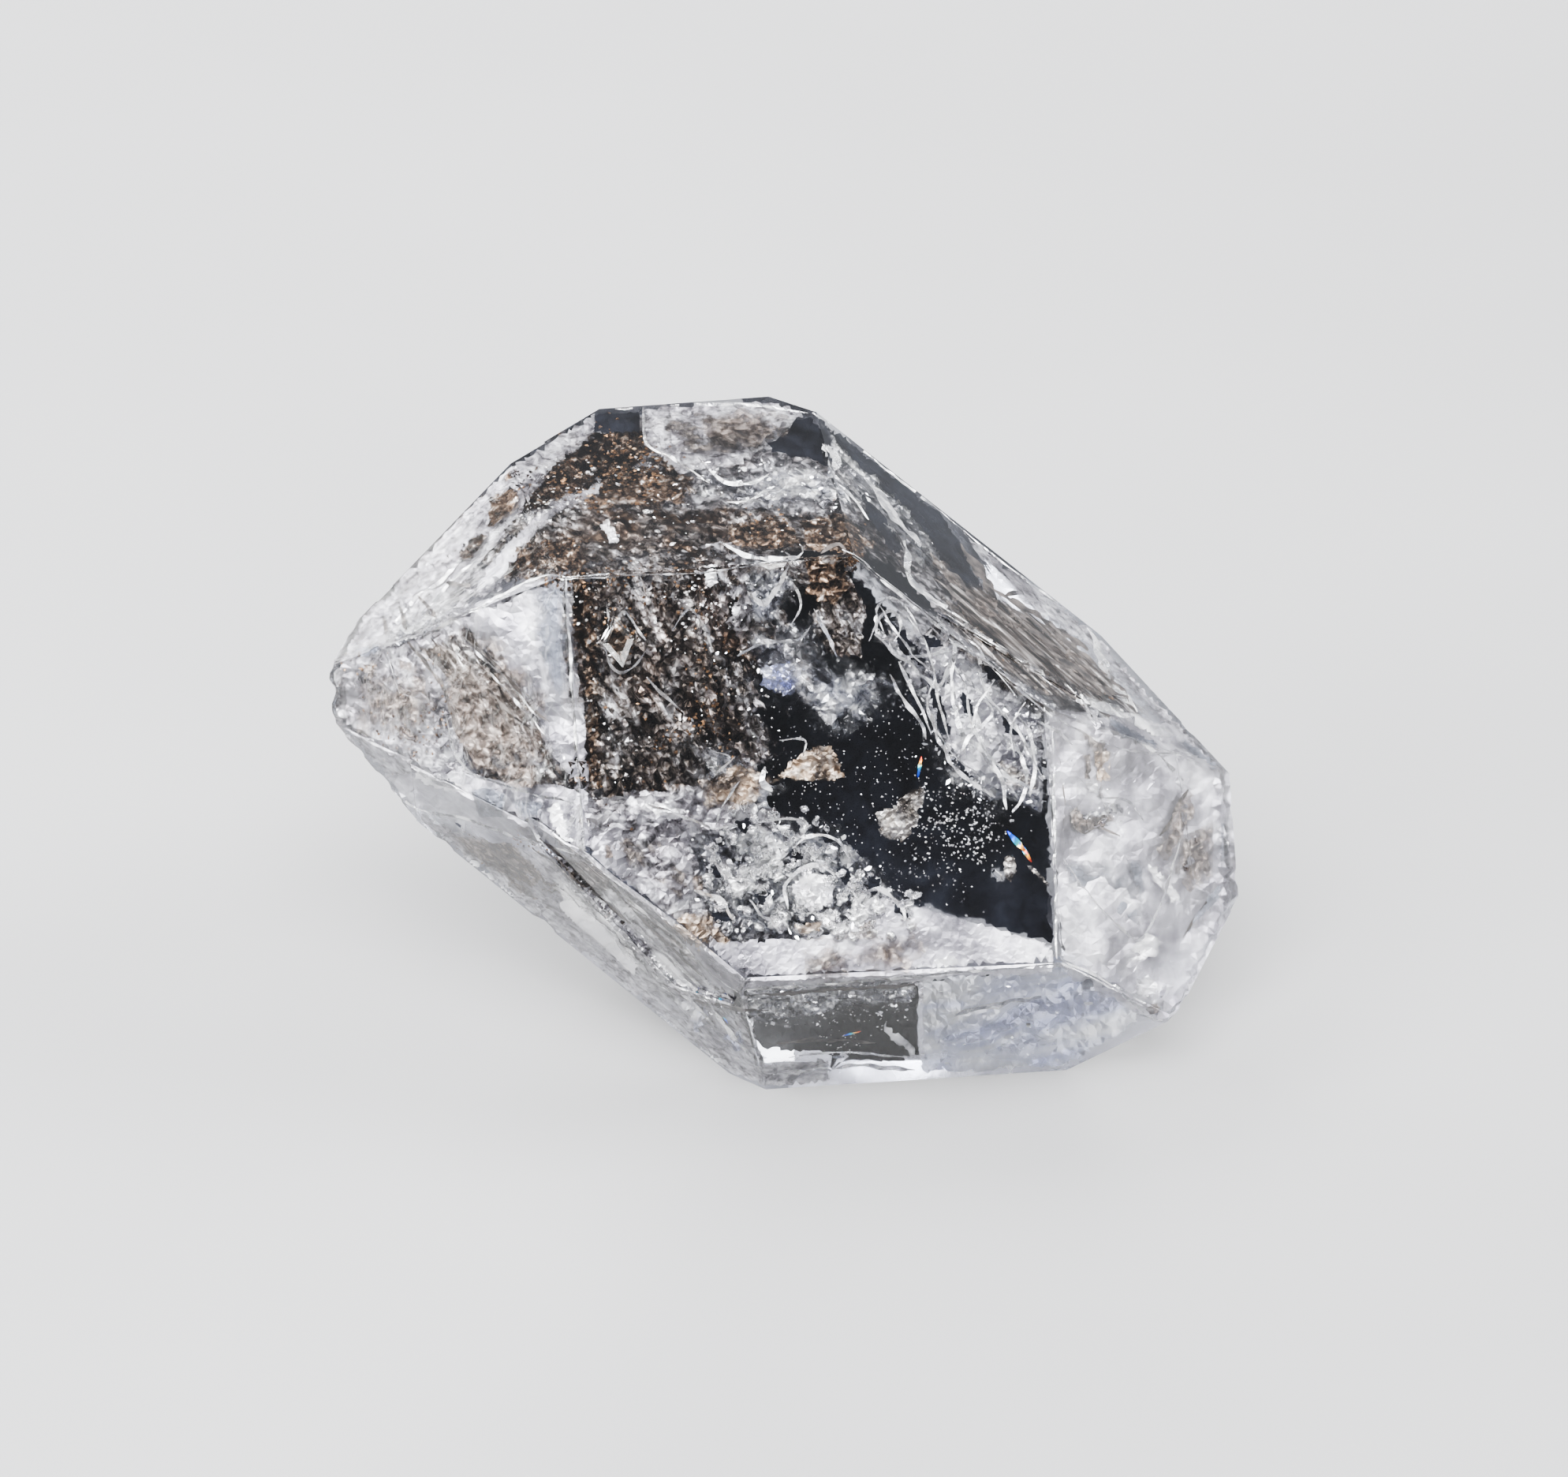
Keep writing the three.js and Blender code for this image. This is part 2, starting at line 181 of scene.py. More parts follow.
SHEETS["milk"] = [
    ("465,975 580,975 744,1000 746,1086 600,1056 490,1015", 0.6, (0.4, 0.2), 0.3, 0.015, 6, 4, 12),
    ("560,780 700,722 718,736 742,1010 700,960 640,860", 0.8, (0.3, 0.3), 0.3, 0.015, 6, 8, 18),
    ("740,1050 870,1025 900,1190 945,1245 880,1235 750,1100", 0.8, (0.6, 0.3), 0.4, 0.03, 6, 14, 24),
    ("860,1195 1040,1185 1120,1135 1180,1150 1336,1196 1337,1236 925,1262 880,1235",
     0.5, (0.0, 0.0), 0.04, 0.01, 5, 0, 3),
    ("1060,1190 1180,1153 1336,1197 1337,1234 1060,1246", 0.9, (0.0, 0.0), 0.06, 0.01, 5, 0, 4),
    ("1322,895 1480,910 1590,990 1590,1130 1490,1310 1350,1244 1336,1190",
     0.4, (0.5, 0.3), 0.3, 0.015, 7, 4, 8),
    ("1345,1040 1500,1040 1560,1140 1480,1270 1350,1200", 1.4, (0.5, 0.4), 0.5, 0.03, 8, 14, 40),
    ("925,712 1066,703 1120,760 1200,850 1330,920 1337,1198 1180,1154 1060,1150 990,1060 950,960 920,850",
     7.3, (-2.0, -2.6), 0.5, 0.04, 8, 10, 30),
    ("1050,1268 1170,1264 1168,1343 1050,1347", 2.3, (0.2, 0.0), 0.1, 0.03, 6, 4, 12),
    ("616,716 650,676 716,626 770,606 762,626 716,646 676,680 640,730 600,760",
     0.35, (0.1, 0.1), 0.15, 0.02, 5, 3, 8),
]
SHEETS["frost"] = [
    ("390,840 450,770 560,745 600,800 590,930 600,990 520,1010 420,950", 0.55, (0.5, 0.2), 0.2, 0.03, 6, 3, 16),
    ("460,990 600,1060 744,1088 935,1270 1000,1400 880,1370 640,1200 490,1070",
     0.25, (0.2, 0.2), 0.12, 0.02, 6, 2, 8),
    ("420,800 500,700 620,580 750,490 760,545 700,600 640,680 560,775 470,830 430,830",
     0.3, (0.3, 0.2), 0.2, 0.03, 5, 3, 14),
    ("500,790 600,660 740,560 770,620 680,680 640,750 560,790", 1.0, (0.4, 0.3), 0.5, 0.05, 6, 10, 24),
    ("1205,655 1290,720 1400,800 1580,960 1500,950 1430,880 1390,830 1300,770 1270,745",
     0.3, (0.3, 0.3), 0.2, 0.02, 6, 2, 12),
    ("1330,900 1460,910 1580,990 1580,1060 1500,1000 1420,990 1340,1010",
     0.9, (0.4, 0.3), 0.4, 0.04, 6, 10, 24),
    ("735,1010 900,990 1000,1040 880,1060 900,1180 860,1210 746,1090", 0.7, (0.6, 0.3), 0.5, 0.05, 6, 10, 24),
    ("812,495 960,490 1035,512 1000,545 940,590 860,600 816,565", 0.5, (0.4, 0.3), 0.3, 0.04, 5, 4, 16),
    ("690,1100 760,1130 930,1280 900,1310 800,1240", 0.35, (0.2, 0.2), 0.2, 0.04, 5, 6, 14),
    ("960,1345 1050,1340 1060,1385 970,1385", 0.3, (0.1, 0.1), 0.1, 0.02, 5, 2, 8),
]
SHEETS["haze"] = [
    ("1112,775 1215,815 1330,905 1330,1035 1240,1010 1190,950 1150,880", 1.0, (0.5, 0.5), 0.9, 0.08, 5, 14, 20),
    ("430,800 620,560 760,510 1030,520 1200,660 1560,960 1340,900 1100,720 900,640 700,660 560,800",
     BEHIND, (0, 0), 0, 0.03, 8, 30, 60),
    ("1240,940 1340,900 1560,980 1560,1140 1400,1200 1340,1100", BEHIND, (0, 0), 0, 0.03, 8, 30, 60),
    ("480,820 700,700 1000,680 1180,780 1330,900 1330,1200 1100,1240 930,1240 740,1080 600,1000",
     BEHIND, (0, 0), 0, 0.03, 8, 30, 80),
]
SHEETS["glow"] = [
    ("1004,1118 1022,1104 1048,1106 1062,1124 1056,1146 1034,1158 1010,1150 1000,1134",
     0.3, (0.1, 0.1), 0.5, 0.06, 4, 4, 7),
    ("1090,1140 1112,1130 1130,1150 1118,1170 1096,1166", 0.3, (0.1, 0.1), 0.5, 0.06, 4, 4, 7),
    ("930,1100 960,1092 975,1110 950,1124", 0.3, (0.1, 0.1), 0.5, 0.06, 4, 4, 7),
    ("800,1020 840,1010 880,1030 850,1046", 0.3, (0.1, 0.1), 0.3, 0.06, 4, 6, 9),
    ("700,1112 722,1118 790,1180 850,1240 830,1244 760,1190", 0.25, *WAVED, 5, 8),
    ("560,1070 600,1086 660,1140 720,1200 700,1200 620,1140", 0.2, *WAVED, 5, 10),
    ("760,1230 840,1290 930,1350 900,1350 820,1300", 0.2, *WAVED, 5, 10),
    ("1180,560 1212,610 1240,640 1215,630", 0.2, *WAVED, 4, 8),
    ("1400,1228 1452,1180 1476,1190 1468,1212 1440,1222", 0.3, *SMOOTH, 4, 12),
    ("1436,1240 1456,1232 1474,1250 1462,1268 1440,1262", 0.3, *SMOOTH, 3, 8),
    ("1352,1120 1372,1116 1420,1160 1446,1186 1436,1194 1390,1170", 0.3, *SMOOTH, 3, 9),
    ("1452,1090 1468,1096 1500,1140 1486,1146 1460,1116", 0.3, *SMOOTH, 3, 7),
    ("1372,985 1392,988 1396,1010 1376,1006", 0.2, *SMOOTH, 3, 7),
    ("1430,900 1480,915 1500,935 1470,940 1436,922", 0.2, *SMOOTH, 3, 9),
    ("1552,1010 1564,1040 1562,1090 1550,1060", 0.15, *SMOOTH, 2, 5),
    ("690,1020 712,1015 722,1060 736,1084 712,1080 698,1050", 0.3, *SMOOTH, 3, 8),
    ("524,975 560,985 600,1000 596,1010 550,1004 522,986", 0.25, *SMOOTH, 3, 7),
    ("420,895 440,898 446,912 428,912", 0.15, *THIN_FINE, 2, 5),
    ("745,1140 775,1122 850,1200 845,1245 800,1220", 0.3, (0.2, 0.2), 0.2, 0.04, 4, 5, 10),
    ("1015,1215 1060,1206 1070,1222 1030,1232", 0.3, *SMOOTH, 3, 8),
    ("1180,1215 1215,1208 1222,1224 1190,1230", 0.3, *SMOOTH, 3, 8),
    ("758,664 774,658 786,684 770,694", 0.4, (0.1, 0.1), 0.3, 0.08, 3, 7, 6),
    ("890,725 908,712 912,738 896,750", 0.3, (0.1, 0.1), 0.1, 0.04, 3, 3, 5),
    ("1040,560 1062,565 1070,582 1052,584", 0.3, (0.1, 0.1), 0.1, 0.03, 3, 3, 5),
    ("1120,1290 1165,1330 1160,1345 1120,1310", 0.8, *WAVED, 3, 8),
    ("704,1142 726,1138 770,1176 812,1222 806,1240 760,1200 716,1162", 0.13, *THIN_FINE, 4, 5),
    ("820,1200 840,1206 880,1250 870,1262 834,1226", 0.13, *THIN_FINE, 4, 5),
    ("606,1128 640,1146 690,1190 676,1194 630,1160", 0.13, *THIN_FINE, 4, 6),
    ("800,1262 850,1296 900,1336 884,1340 820,1290", 0.13, *THIN_FINE, 4, 6),
    ("508,1030 548,1050 560,1066 530,1056", 0.13, *THIN_FINE, 3, 5),
]
SHEETS["slate"] = [
    ("592,1000 616,992 644,1010 640,1040 606,1036", 0.13, *SMOOTH, 3, 9),
    ("648,1012 690,1012 690,1034 655,1040", 0.22, *SMOOTH, 4, 10),
    ("668,744 714,734 722,830 704,880 676,830", 0.35, (0.1, 0.1), 0.2, 0.02, 5, 6, 16),
    ("1346,1092 1440,1085 1452,1120 1450,1180 1412,1172 1352,1120", 0.26, (0.1, 0.1), 0.1, 0.01, 5, 4, 60),
    ("1424,1088 1448,1086 1456,1130 1444,1138", 0.2, *SMOOTH, 3, 9),
    ("1494,1190 1540,1122 1552,1118 1548,1138 1504,1186", 0.15, *THIN, 2, 5),
    ("1500,930 1545,965 1540,980 1490,945", 0.15, *THIN, 3, 8),
    ("1546,1040 1556,1040 1554,1105 1544,1100", 0.12, *THIN, 2, 6),
    ("446,822 480,812 486,826 460,836", 0.15, *THIN, 3, 8),
    ("1395,905 1420,912 1470,940 1465,950 1420,935", 0.12, *THIN, 2, 5),
    ("1366,1240 1388,1236 1390,1256 1370,1258", 0.2, *THIN, 2, 7),
    ("682,796 712,788 722,846 714,892 694,868", 0.13, *THIN, 4, 16),
    ("602,1096 616,1092 624,1108 610,1114", 0.13, *THIN_FINE, 2, 4),
]
SHEETS["umber"] = [
    ("1466,1080 1500,1010 1516,990 1520,1030 1500,1070 1480,1100", 0.22, *WAVED, 5, 14),
    ("1490,1060 1540,1040 1540,1110 1510,1140 1490,1110", 0.22, (0.1, 0.1), 0.1, 0.03, 4, 6, 20),
    ("1366,925 1400,935 1430,960 1420,975 1385,955", 0.22, *WAVED, 5, 12),
    ("1372,955 1384,952 1386,990 1374,988", 0.2, *WAVED, 2, 5),
    ("1355,1030 1366,1020 1376,1036 1410,1030 1416,1040 1396,1048 1372,1056 1358,1046",
     0.15, (0.1, 0.1), 0.1, 0.02, 3, 3, 4),
    ("494,916 516,920 534,934 528,942 506,936", 0.15, *THIN_FINE, 2, 4),
    ("455,842 478,838 482,858 462,862", 0.15, *THIN_FINE, 3, 6),
    ("500,880 530,885 525,905 500,900", 0.2, *THIN_FINE, 4, 10),
    ("566,872 592,866 606,930 632,976 604,980 578,936", 0.13, *UNEVEN, 6, 10),
    ("622,972 652,962 682,972 686,996 650,1002 630,990", 0.13, *UNEVEN, 5, 9),
    ("565,1052 650,1066 720,1130 690,1140 630,1105 590,1085", 0.15, (0.1, 0.1), 0.1, 0.03, 4, 5, 9),
    ("640,1100 700,1150 690,1160 640,1120", 0.12, *WAVED, 4, 8),
    ("762,1068 776,1066 780,1088 766,1090", 0.25, *THIN_FINE, 2, 4),
    ("874,1108 892,1106 894,1130 878,1132", 0.25, *THIN_FINE, 2, 4),
    ("1450,1276 1470,1270 1472,1284 1456,1290", 0.12, *THIN_FINE, 1, 3),
    ("1010,1196 1150,1160 1184,1196 1150,1240 1020,1246", 0.25, (0.05, 0.05), 0.05, 0.02, 5, 8, 100),
    ("880,520 960,518 1010,535 960,566 890,560", 0.14, *UNEVEN, 12, 34),
    ("552,846 616,842 690,920 704,960 640,990 590,960", 0.15, *UNEVEN, 10, 60),
    ("440,880 470,856 540,850 560,900 520,940 460,930", 0.15, *UNEVEN, 12, 90),
    ("500,830 524,838 530,856 506,850", 0.13, *THIN_FINE, 4, 6),
    ("590,806 640,802 690,870 700,910 660,900 620,860", 0.15, *UNEVEN, 8, 70),
    ("1214,738 1262,752 1316,784 1388,836 1416,876 1384,878 1310,830 1250,792",
     0.13, (0.05, 0.05), 0.05, 0.03, 4, 9, 26),
    ("1170,690 1200,706 1230,744 1250,780 1222,770 1190,730", 0.13, (0.05, 0.05), 0.05, 0.03, 4, 9, 26),
]
SHEETS["blue"] = [
    ("1168,1240 1340,1222 1400,1243 1450,1290 1350,1358 1166,1362", 0.7, (0.4, 0.3), 0.6, 0.03, 5, 2, 5),
    ("840,1255 930,1285 975,1360 900,1325", 0.4, (0.3, 0.2), 0.4, 0.08, 5, 6, 12),
    # The last is a small pale blue patch that stands for a bluish glint: a painted highlight.
    ("960,842 1000,838 1018,862 1000,884 965,872", 0.8, (0.3, 0.2), 0.4, 0.06, 4, 6, 14),
]
# Painted shade: near-black films laid where the crystal shows dark windows, and small dark gaps among the
# bright veil and lumps, to darken them.
SHEETS["painted_shade"] = [
    ("925,712 1066,703 1120,760 1200,850 1330,920 1337,1198 1180,1154 1060,1150 990,1060 950,960 920,850",
     6.5, (-2.0, -2.6), 0.1, 0.02, 6, 0, 0),
    ("930,1256 1166,1242 1165,1345 1062,1349 1040,1336 960,1330", 1.3, (0.2, 0.0), 0.1, 0.03, 6, 2, 0),
    ("745,522 815,518 812,552 748,550", 0.8, (0.2, 0.1), 0.1, 0.03, 5, 2, 0),
    ("1034,526 1070,550 1200,656 1258,765 1240,786 1205,735 1166,668 1110,608 1070,572", 0.3, *WAVED, 3, 30),
    ("1085,610 1120,650 1150,700 1130,700 1100,660", 0.4, *WAVED, 4, 16),
    ("960,535 1030,525 1100,590 1080,600 970,580", 1.0, (0.2, 0.1), 0.1, 0.03, 6, 8, 0),
    ("1128,786 1150,798 1176,836 1166,850 1140,822", 0.45, *GAP, 6, 0),
    ("1176,862 1196,880 1208,934 1192,928 1180,896", 0.45, *GAP, 6, 0),
    ("1160,796 1192,808 1204,822 1178,824", 0.45, *GAP, 5, 0),
    ("1216,872 1232,886 1238,914 1222,908", 0.45, *GAP, 6, 0),
    ("1236,832 1264,848 1276,864 1250,860", 0.45, *GAP, 6, 0),
    ("1146,862 1164,880 1176,908 1158,902", 0.45, *GAP, 6, 0),
    ("1208,956 1226,970 1246,990 1224,986", 0.45, *GAP, 6, 0),
    ("1262,896 1282,912 1296,938 1274,928", 0.45, *GAP, 6, 0),
    ("926,1040 946,1034 954,1052 936,1060", 0.3, *GAP, 6, 0),
    ("998,1080 1012,1072 1022,1090 1008,1098", 0.3, *GAP, 6, 0),
    ("1058,1100 1075,1094 1084,1112 1068,1120", 0.3, *GAP, 6, 0),
    ("956,1130 976,1124 982,1140 966,1148", 0.3, *GAP, 6, 0),
    ("898,1100 912,1094 920,1112 906,1118", 0.3, *GAP, 6, 0),
    ("1098,1108 1118,1114 1114,1134 1100,1130", 0.3, *GAP, 6, 0),
    ("1036,1060 1056,1056 1060,1070 1044,1076", 0.3, *GAP, 6, 0),
    ("900,1156 924,1150 934,1166 912,1172", 0.3, *GAP, 6, 0),
    ("1128,1140 1146,1150 1156,1168 1136,1160", 0.3, *GAP, 6, 0),
]
# Bright threads and dark cracks: path, depth, width in pixels.
THREADS = {}
THREADS["threads"] = [
    ("1000,1152 995,1124 1014,1102 1040,1098 1062,1112", 0.22, 4),
    ("905,1090 920,1110 950,1116", 0.25, 4),
    ("880,1130 910,1140 930,1165", 0.25, 5),
    ("950,1140 968,1162 990,1168", 0.25, 4),
    ("1088,1160 1090,1140 1114,1126 1140,1146 1150,1175", 0.22, 4),
    ("1076,1088 1060,1064 1030,1058 1010,1070", 0.25, 4),
    ("968,1075 985,1090 1000,1080", 0.25, 3),
    ("424,826 450,790 520,706 640,588 752,520", 0.13, 3),
    ("752,520 880,512 960,514 1024,524", 0.13, 3),
    ("815,516 818,560 850,580 900,612", 0.2, 3),
    ("700,1120 740,1160 790,1200", 0.25, 8),
    ("840,1230 870,1262 905,1300", 0.25, 6),
    ("1027,522 1068,548 1116,589 1168,629 1205,659", 0.14, 2.5),
    ("1205,659 1300,735 1390,800 1470,875 1540,950", 0.14, 2),
    ("1042,567 1056,570 1061,580 1056,596", 0.3, 9),
    ("1098,607 1116,629 1138,659 1161,685 1168,692", 0.3, 8),
    ("1064,615 1087,637 1101,659", 0.3, 3),
    ("1146,685 1153,729 1168,752 1201,770", 0.35, 8),
    ("1068,696 1094,711 1116,733 1142,755 1175,781 1212,814 1257,844 1301,881 1334,908", 0.15, 3),
    ("1334,908 1353,918 1390,937 1440,952 1500,955", 0.15, 2.5),
    ("1112,803 1112,785 1131,774 1142,792 1135,811", 0.4, 4),
    ("1109,803 1138,829 1168,855 1190,870 1201,855 1212,826 1205,807", 0.35, 6),
    ("1153,833 1183,829 1212,818", 0.45, 4),
    ("1127,855 1142,881 1164,911 1175,937", 0.4, 4),
    ("1201,855 1209,888 1216,918 1227,959", 0.35, 6),
    ("1220,848 1242,877 1272,907 1301,937", 0.35, 5),
    ("1249,888 1257,907 1227,937 1215,960", 0.35, 5),
    ("1316,914 1338,925 1360,944", 0.2, 3),
    ("1179,759 1227,789 1279,822 1338,855 1364,881", 0.3, 2),
    ("1200,778 1250,812 1310,850 1350,880", 0.35, 2),
    ("1227,811 1242,822 1249,840", 0.3, 3),
    ("1375,789 1394,826 1408,863 1442,903", 0.3, 9),
    ("1364,888 1405,900 1445,911", 0.3, 9),
    ("1236,900 1250,950 1270,990 1276,1026", 0.35, 5),
    ("1270,930 1296,960 1300,1000 1284,1030", 0.35, 5),
    ("1180,905 1196,950 1222,985 1262,1010", 0.35, 5),
    ("1212,930 1240,945 1262,975 1310,1000", 0.35, 5),
    ("1290,905 1306,930 1312,970 1306,1010", 0.35, 4),
    ("522,808 541,803 567,789 594,776 621,762 686,730 716,732", 0.14, 3),
    ("717,734 725,867 733,974 741,1081", 0.14, 3),
    ("583,808 616,832 648,854 667,880 688,899", 0.3, 3),
    ("634,891 648,907 667,929", 0.25, 5),
    ("560,850 590,872 620,905", 0.3, 2.5),
    ("567,910 573,942 586,969 605,985", 0.25, 3),
    ("586,974 621,990 675,1006 728,1017", 0.2, 3),
    ("530,980 551,990 578,998", 0.2, 6),
    ("484,996 530,1025 594,1039 675,1068 738,1084", 0.14, 3),
    ("602,946 622,950 640,940", 0.3, 7),
    ("700,816 716,817", 0.2, 2),
    ("716,732 792,729 885,726 960,716 1018,706", 0.16, 2),
    ("766,819 789,775 806,795 819,812", 0.3, 3),
    ("766,819 772,838 786,852 806,842 819,825", 0.3, 3),
    ("852,799 875,772 895,802 905,825", 0.35, 2.5),
    ("770,770 772,800 756,816", 0.35, 2.5),
    ("820,858 840,880 862,900", 0.35, 3),
    ("948,752 968,766 985,746 1001,716", 0.4, 7),
    ("912,686 952,706 1011,706 1018,693", 0.35, 5),
    ("885,580 918,610 952,613 975,600", 0.3, 3.5),
    ("918,636 952,633 985,613", 0.3, 2.5),
    ("935,832 968,815 1011,812 1028,792", 0.4, 4),
    ("1005,739 1016,766 1005,792", 0.5, 3),
    ("1031,772 1048,805 1061,832", 0.3, 4),
    ("1101,812 1111,792 1120,776", 0.4, 3),
    ("899,951 925,958", 0.4, 3),
    ("905,984 932,958", 0.4, 3),
    ("819,1018 872,1037 905,1051", 0.3, 4),
    ("905,1051 918,1018 938,991", 0.35, 3),
    ("905,1051 952,1044 985,1038 1021,1041 1021,1061", 0.3, 2.5),
    ("988,938 1021,938 1018,958", 0.4, 2.5),
    ("968,971 965,990 978,1004", 0.4, 7),
    ("742,1084 800,1142 860,1192 905,1237 935,1258", 0.14, 3),
    ("760,1128 800,1170 850,1215 900,1262 930,1290", 0.2, 4),
    ("935,1256 1060,1246 1200,1234 1337,1222", 0.14, 3),
    ("1335,920 1337,1060 1339,1215", 0.14, 3),
    ("1340,1216 1400,1242 1450,1284", 0.14, 3),
    ("1348,1088 1378,1130 1412,1168 1446,1190 1474,1140 1500,1050", 0.2, 3),
    ("1440,1286 1490,1290 1530,1230 1560,1150", 0.14, 3),
    ("980,1362 1080,1352 1160,1356", 0.2, 5),
    ("1000,1340 1060,1334 1150,1340", 0.3, 3),
    ("1200,1290 1260,1275 1320,1262", 0.3, 6),
    ("1380,925 1420,930 1460,950 1500,990", 0.3, 4),
    ("1390,1010 1430,1016 1450,1040", 0.3, 3),
    ("500,790 530,755 560,735 590,700", 0.3, 4),
    ("545,770 570,740 600,712", 0.3, 3),
    ("1116,768 1136,800 1160,832 1180,850", 0.14, 3),
    ("1120,800 1112,772 1128,758 1150,770 1166,800", 0.14, 3),
    ("1150,780 1172,812 1184,850 1190,890 1204,936", 0.14, 3),
    ("1176,790 1200,812 1230,824 1262,850 1290,884", 0.14, 3),
    ("1206,838 1224,870 1230,912 1250,952 1280,984", 0.14, 3),
    ("1186,860 1176,892 1190,930 1212,960 1240,980", 0.14, 2.5),
    ("1240,850 1256,886 1284,916 1304,950 1322,990", 0.14, 2.5),
    ("1212,830 1206,866 1216,900", 0.14, 4),
    ("1262,862 1240,894 1232,930", 0.14, 3),
    ("1300,890 1282,922 1286,960", 0.14, 2.5),
    ("1140,838 1156,872 1170,900 1180,930", 0.14, 3),
    ("1226,796 1276,826 1330,862", 0.14, 2),
    ("586,812 640,860 684,912", 0.13, 2.5),
    ("604,836 650,884 690,930", 0.13, 3),
    ("700,1124 736,1152 784,1196 822,1238", 0.13, 9),
    ("716,1122 760,1160 800,1200", 0.13, 5),
    ("860,1236 890,1262 920,1300 950,1340", 0.13, 5),
]
THREADS["cracks"] = [
    ("675,1075 715,1103 760,1137 800,1170", 0.14, 3.5),
    ("745,1096 790,1142 850,1200 890,1238", 0.25, 3),
    ("546,808 562,830 574,866 590,890", 0.3, 4),
    ("560,815 590,850 610,880", 0.3, 3),
    ("600,850 640,900 680,950", 0.35, 3),
    ("486,780 490,806", 0.2, 4),
    ("506,768 516,798", 0.2, 4),
    ("530,754 554,784", 0.2, 5),
    ("566,738 596,744", 0.2, 6),
    ("1170,752 1240,800 1330,862 1400,905 1480,945", 0.4, 4),
    ("1200,760 1290,820 1370,870", 0.5, 3),
    ("1210,690 1240,720 1262,768 1240,790", 0.4, 10),
    ("1040,700 1064,690 1070,704 1036,708", 0.4, 6),
    ("1275,755 1300,750", 0.25, 5),
    ("1420,1060 1392,1048 1376,1056 1360,1046", 0.2, 3),
    ("1500,1188 1524,1150 1546,1124", 0.15, 3),
    ("1338,930 1345,980 1350,1020", 0.2, 2),
    ("945,1262 1040,1256 1160,1248", 0.2, 4),
    ("880,1266 930,1278 975,1280", 0.2, 4),
    ("985,1322 1050,1318 1110,1322", 0.25, 4),
    ("1470,1060 1490,1030 1506,1000", 0.2, 5),
    ("1380,850 1420,870 1430,890", 0.3, 4),
    ("1270,790 1330,810 1390,850", 0.35, 6),
    ("517,814 540,840 560,866 570,890 578,920 590,950 598,975", 0.12, 6),
    ("561,814 600,850 640,896 672,925", 0.12, 4),
    ("586,806 636,850 670,892 697,916", 0.12, 3),
    ("530,820 560,846 590,884", 0.12, 4),
    ("1184,734 1222,764 1260,792 1312,822 1378,868", 0.12, 5),
    ("1236,748 1290,776 1340,806 1386,842", 0.12, 3),
    ("1262,776 1310,800 1350,828", 0.12, 4),
    ("684,1062 720,1092 764,1130", 0.12, 4),
    ("1216,742 1280,786 1330,812 1390,856", 0.12, 4),
    ("1248,738 1310,782 1370,826 1404,856", 0.12, 4),
    ("1282,758 1330,790 1380,824", 0.12, 6),
    ("1200,722 1226,748 1250,772", 0.12, 8),
    ("1310,816 1350,838 1392,866 1430,886", 0.12, 6),
    ("1180,700 1200,730 1236,760", 0.12, 4),
]
# What is scattered: outline, depth from and to, count, size from and to in millimetres.
PEARLS = [
    ("1028,1126 1034,1126 1034,1132 1028,1132", (0.55, 0.6), 1, (1.2, 1.25)),
    ("880,1060 1060,1080 1160,1150 1120,1190 900,1180", (0.3, 0.9), 56, (0.12, 0.42)),
    ("900,1080 1060,1090 1160,1150 1120,1185 920,1175", (0.4, 0.8), 22, (0.36, 0.66)),
    ("1080,1130 1170,1130 1160,1185 1080,1190", (0.3, 0.7), 22, (0.16, 0.4)),
    ("930,1010 1060,1030 1050,1080 900,1080", (0.3, 0.8), 26, (0.1, 0.34)),
    ("1180,900 1310,920 1310,1010 1220,1000", (0.4, 1.4), 26, (0.08, 0.28)),
    ("700,640 760,560 860,600 900,690 760,690", (0.3, 1.2), 26, (0.06, 0.2)),
    ("880,1260 1000,1250 1150,1245 1150,1265 900,1300", (0.2, 0.6), 26, (0.06, 0.2)),
]
BUBBLES = [
    ("880,1060 1060,1080 1160,1150 1120,1190 900,1180", (0.2, 0.6), 90, (0.1, 0.46)),
    ("1015,1115 1045,1115 1045,1145 1015,1145", (0.6, 0.7), 1, (1.15, 1.2)),
    ("930,1010 1060,1030 1050,1080 900,1080", (0.2, 0.6), 34, (0.1, 0.34)),
]
# The last number says over how many pixels grains gather about their knots.
GRAINS = {}
GRAINS["brown_grains"] = [
    ("650,640 700,575 770,545 860,570 880,620 760,650", (0.3, 1.4), 420, (0.06, 0.22), 12),
    ("722,740 900,735 960,880 880,1010 750,1040", (0.3, 2.4), 520, (0.05, 0.17), 14),
    ("640,690 740,685 735,745 640,735", (0.2, 0.9), 140, (0.06, 0.18), 10),
    ("930,650 1080,650 1090,700 940,700", (0.2, 0.9), 100, (0.06, 0.18), 10),
    ("580,1050 700,1080 680,1110 600,1090", (0.2, 0.8), 90, (0.05, 0.15), 10),
    ("440,830 560,830 590,940 480,960", (0.1, 0.5), 46, (0.05, 0.13), 16),
    ("1250,780 1400,850 1400,890 1260,820", (0.2, 0.8), 80, (0.05, 0.14), 14),
    ("440,830 560,830 590,940 480,960", (0.1, 0.14), 110, (0.04, 0.12), 14),
]
GRAINS["white_dust"] = [
    ("985,880 1120,880 1190,960 1330,1040 1330,1100 1180,1140 1060,1130 990,1020",
     (0.3, 6.0), 620, (0.025, 0.075), 34),
    ("1160,1010 1270,1030 1250,1090 1170,1080", (0.4, 1.6), 260, (0.04, 0.11), 22),
    ("940,1245 1160,1240 1160,1340 1060,1340", (0.2, 1.6), 160, (0.03, 0.1), 16),
    ("722,732 1010,722 1000,800 960,960 760,1040", (0.2, 1.2), 190, (0.03, 0.14), 18),
    ("655,640 760,545 880,590 760,650", (0.2, 1.2), 120, (0.04, 0.17), 14),
]
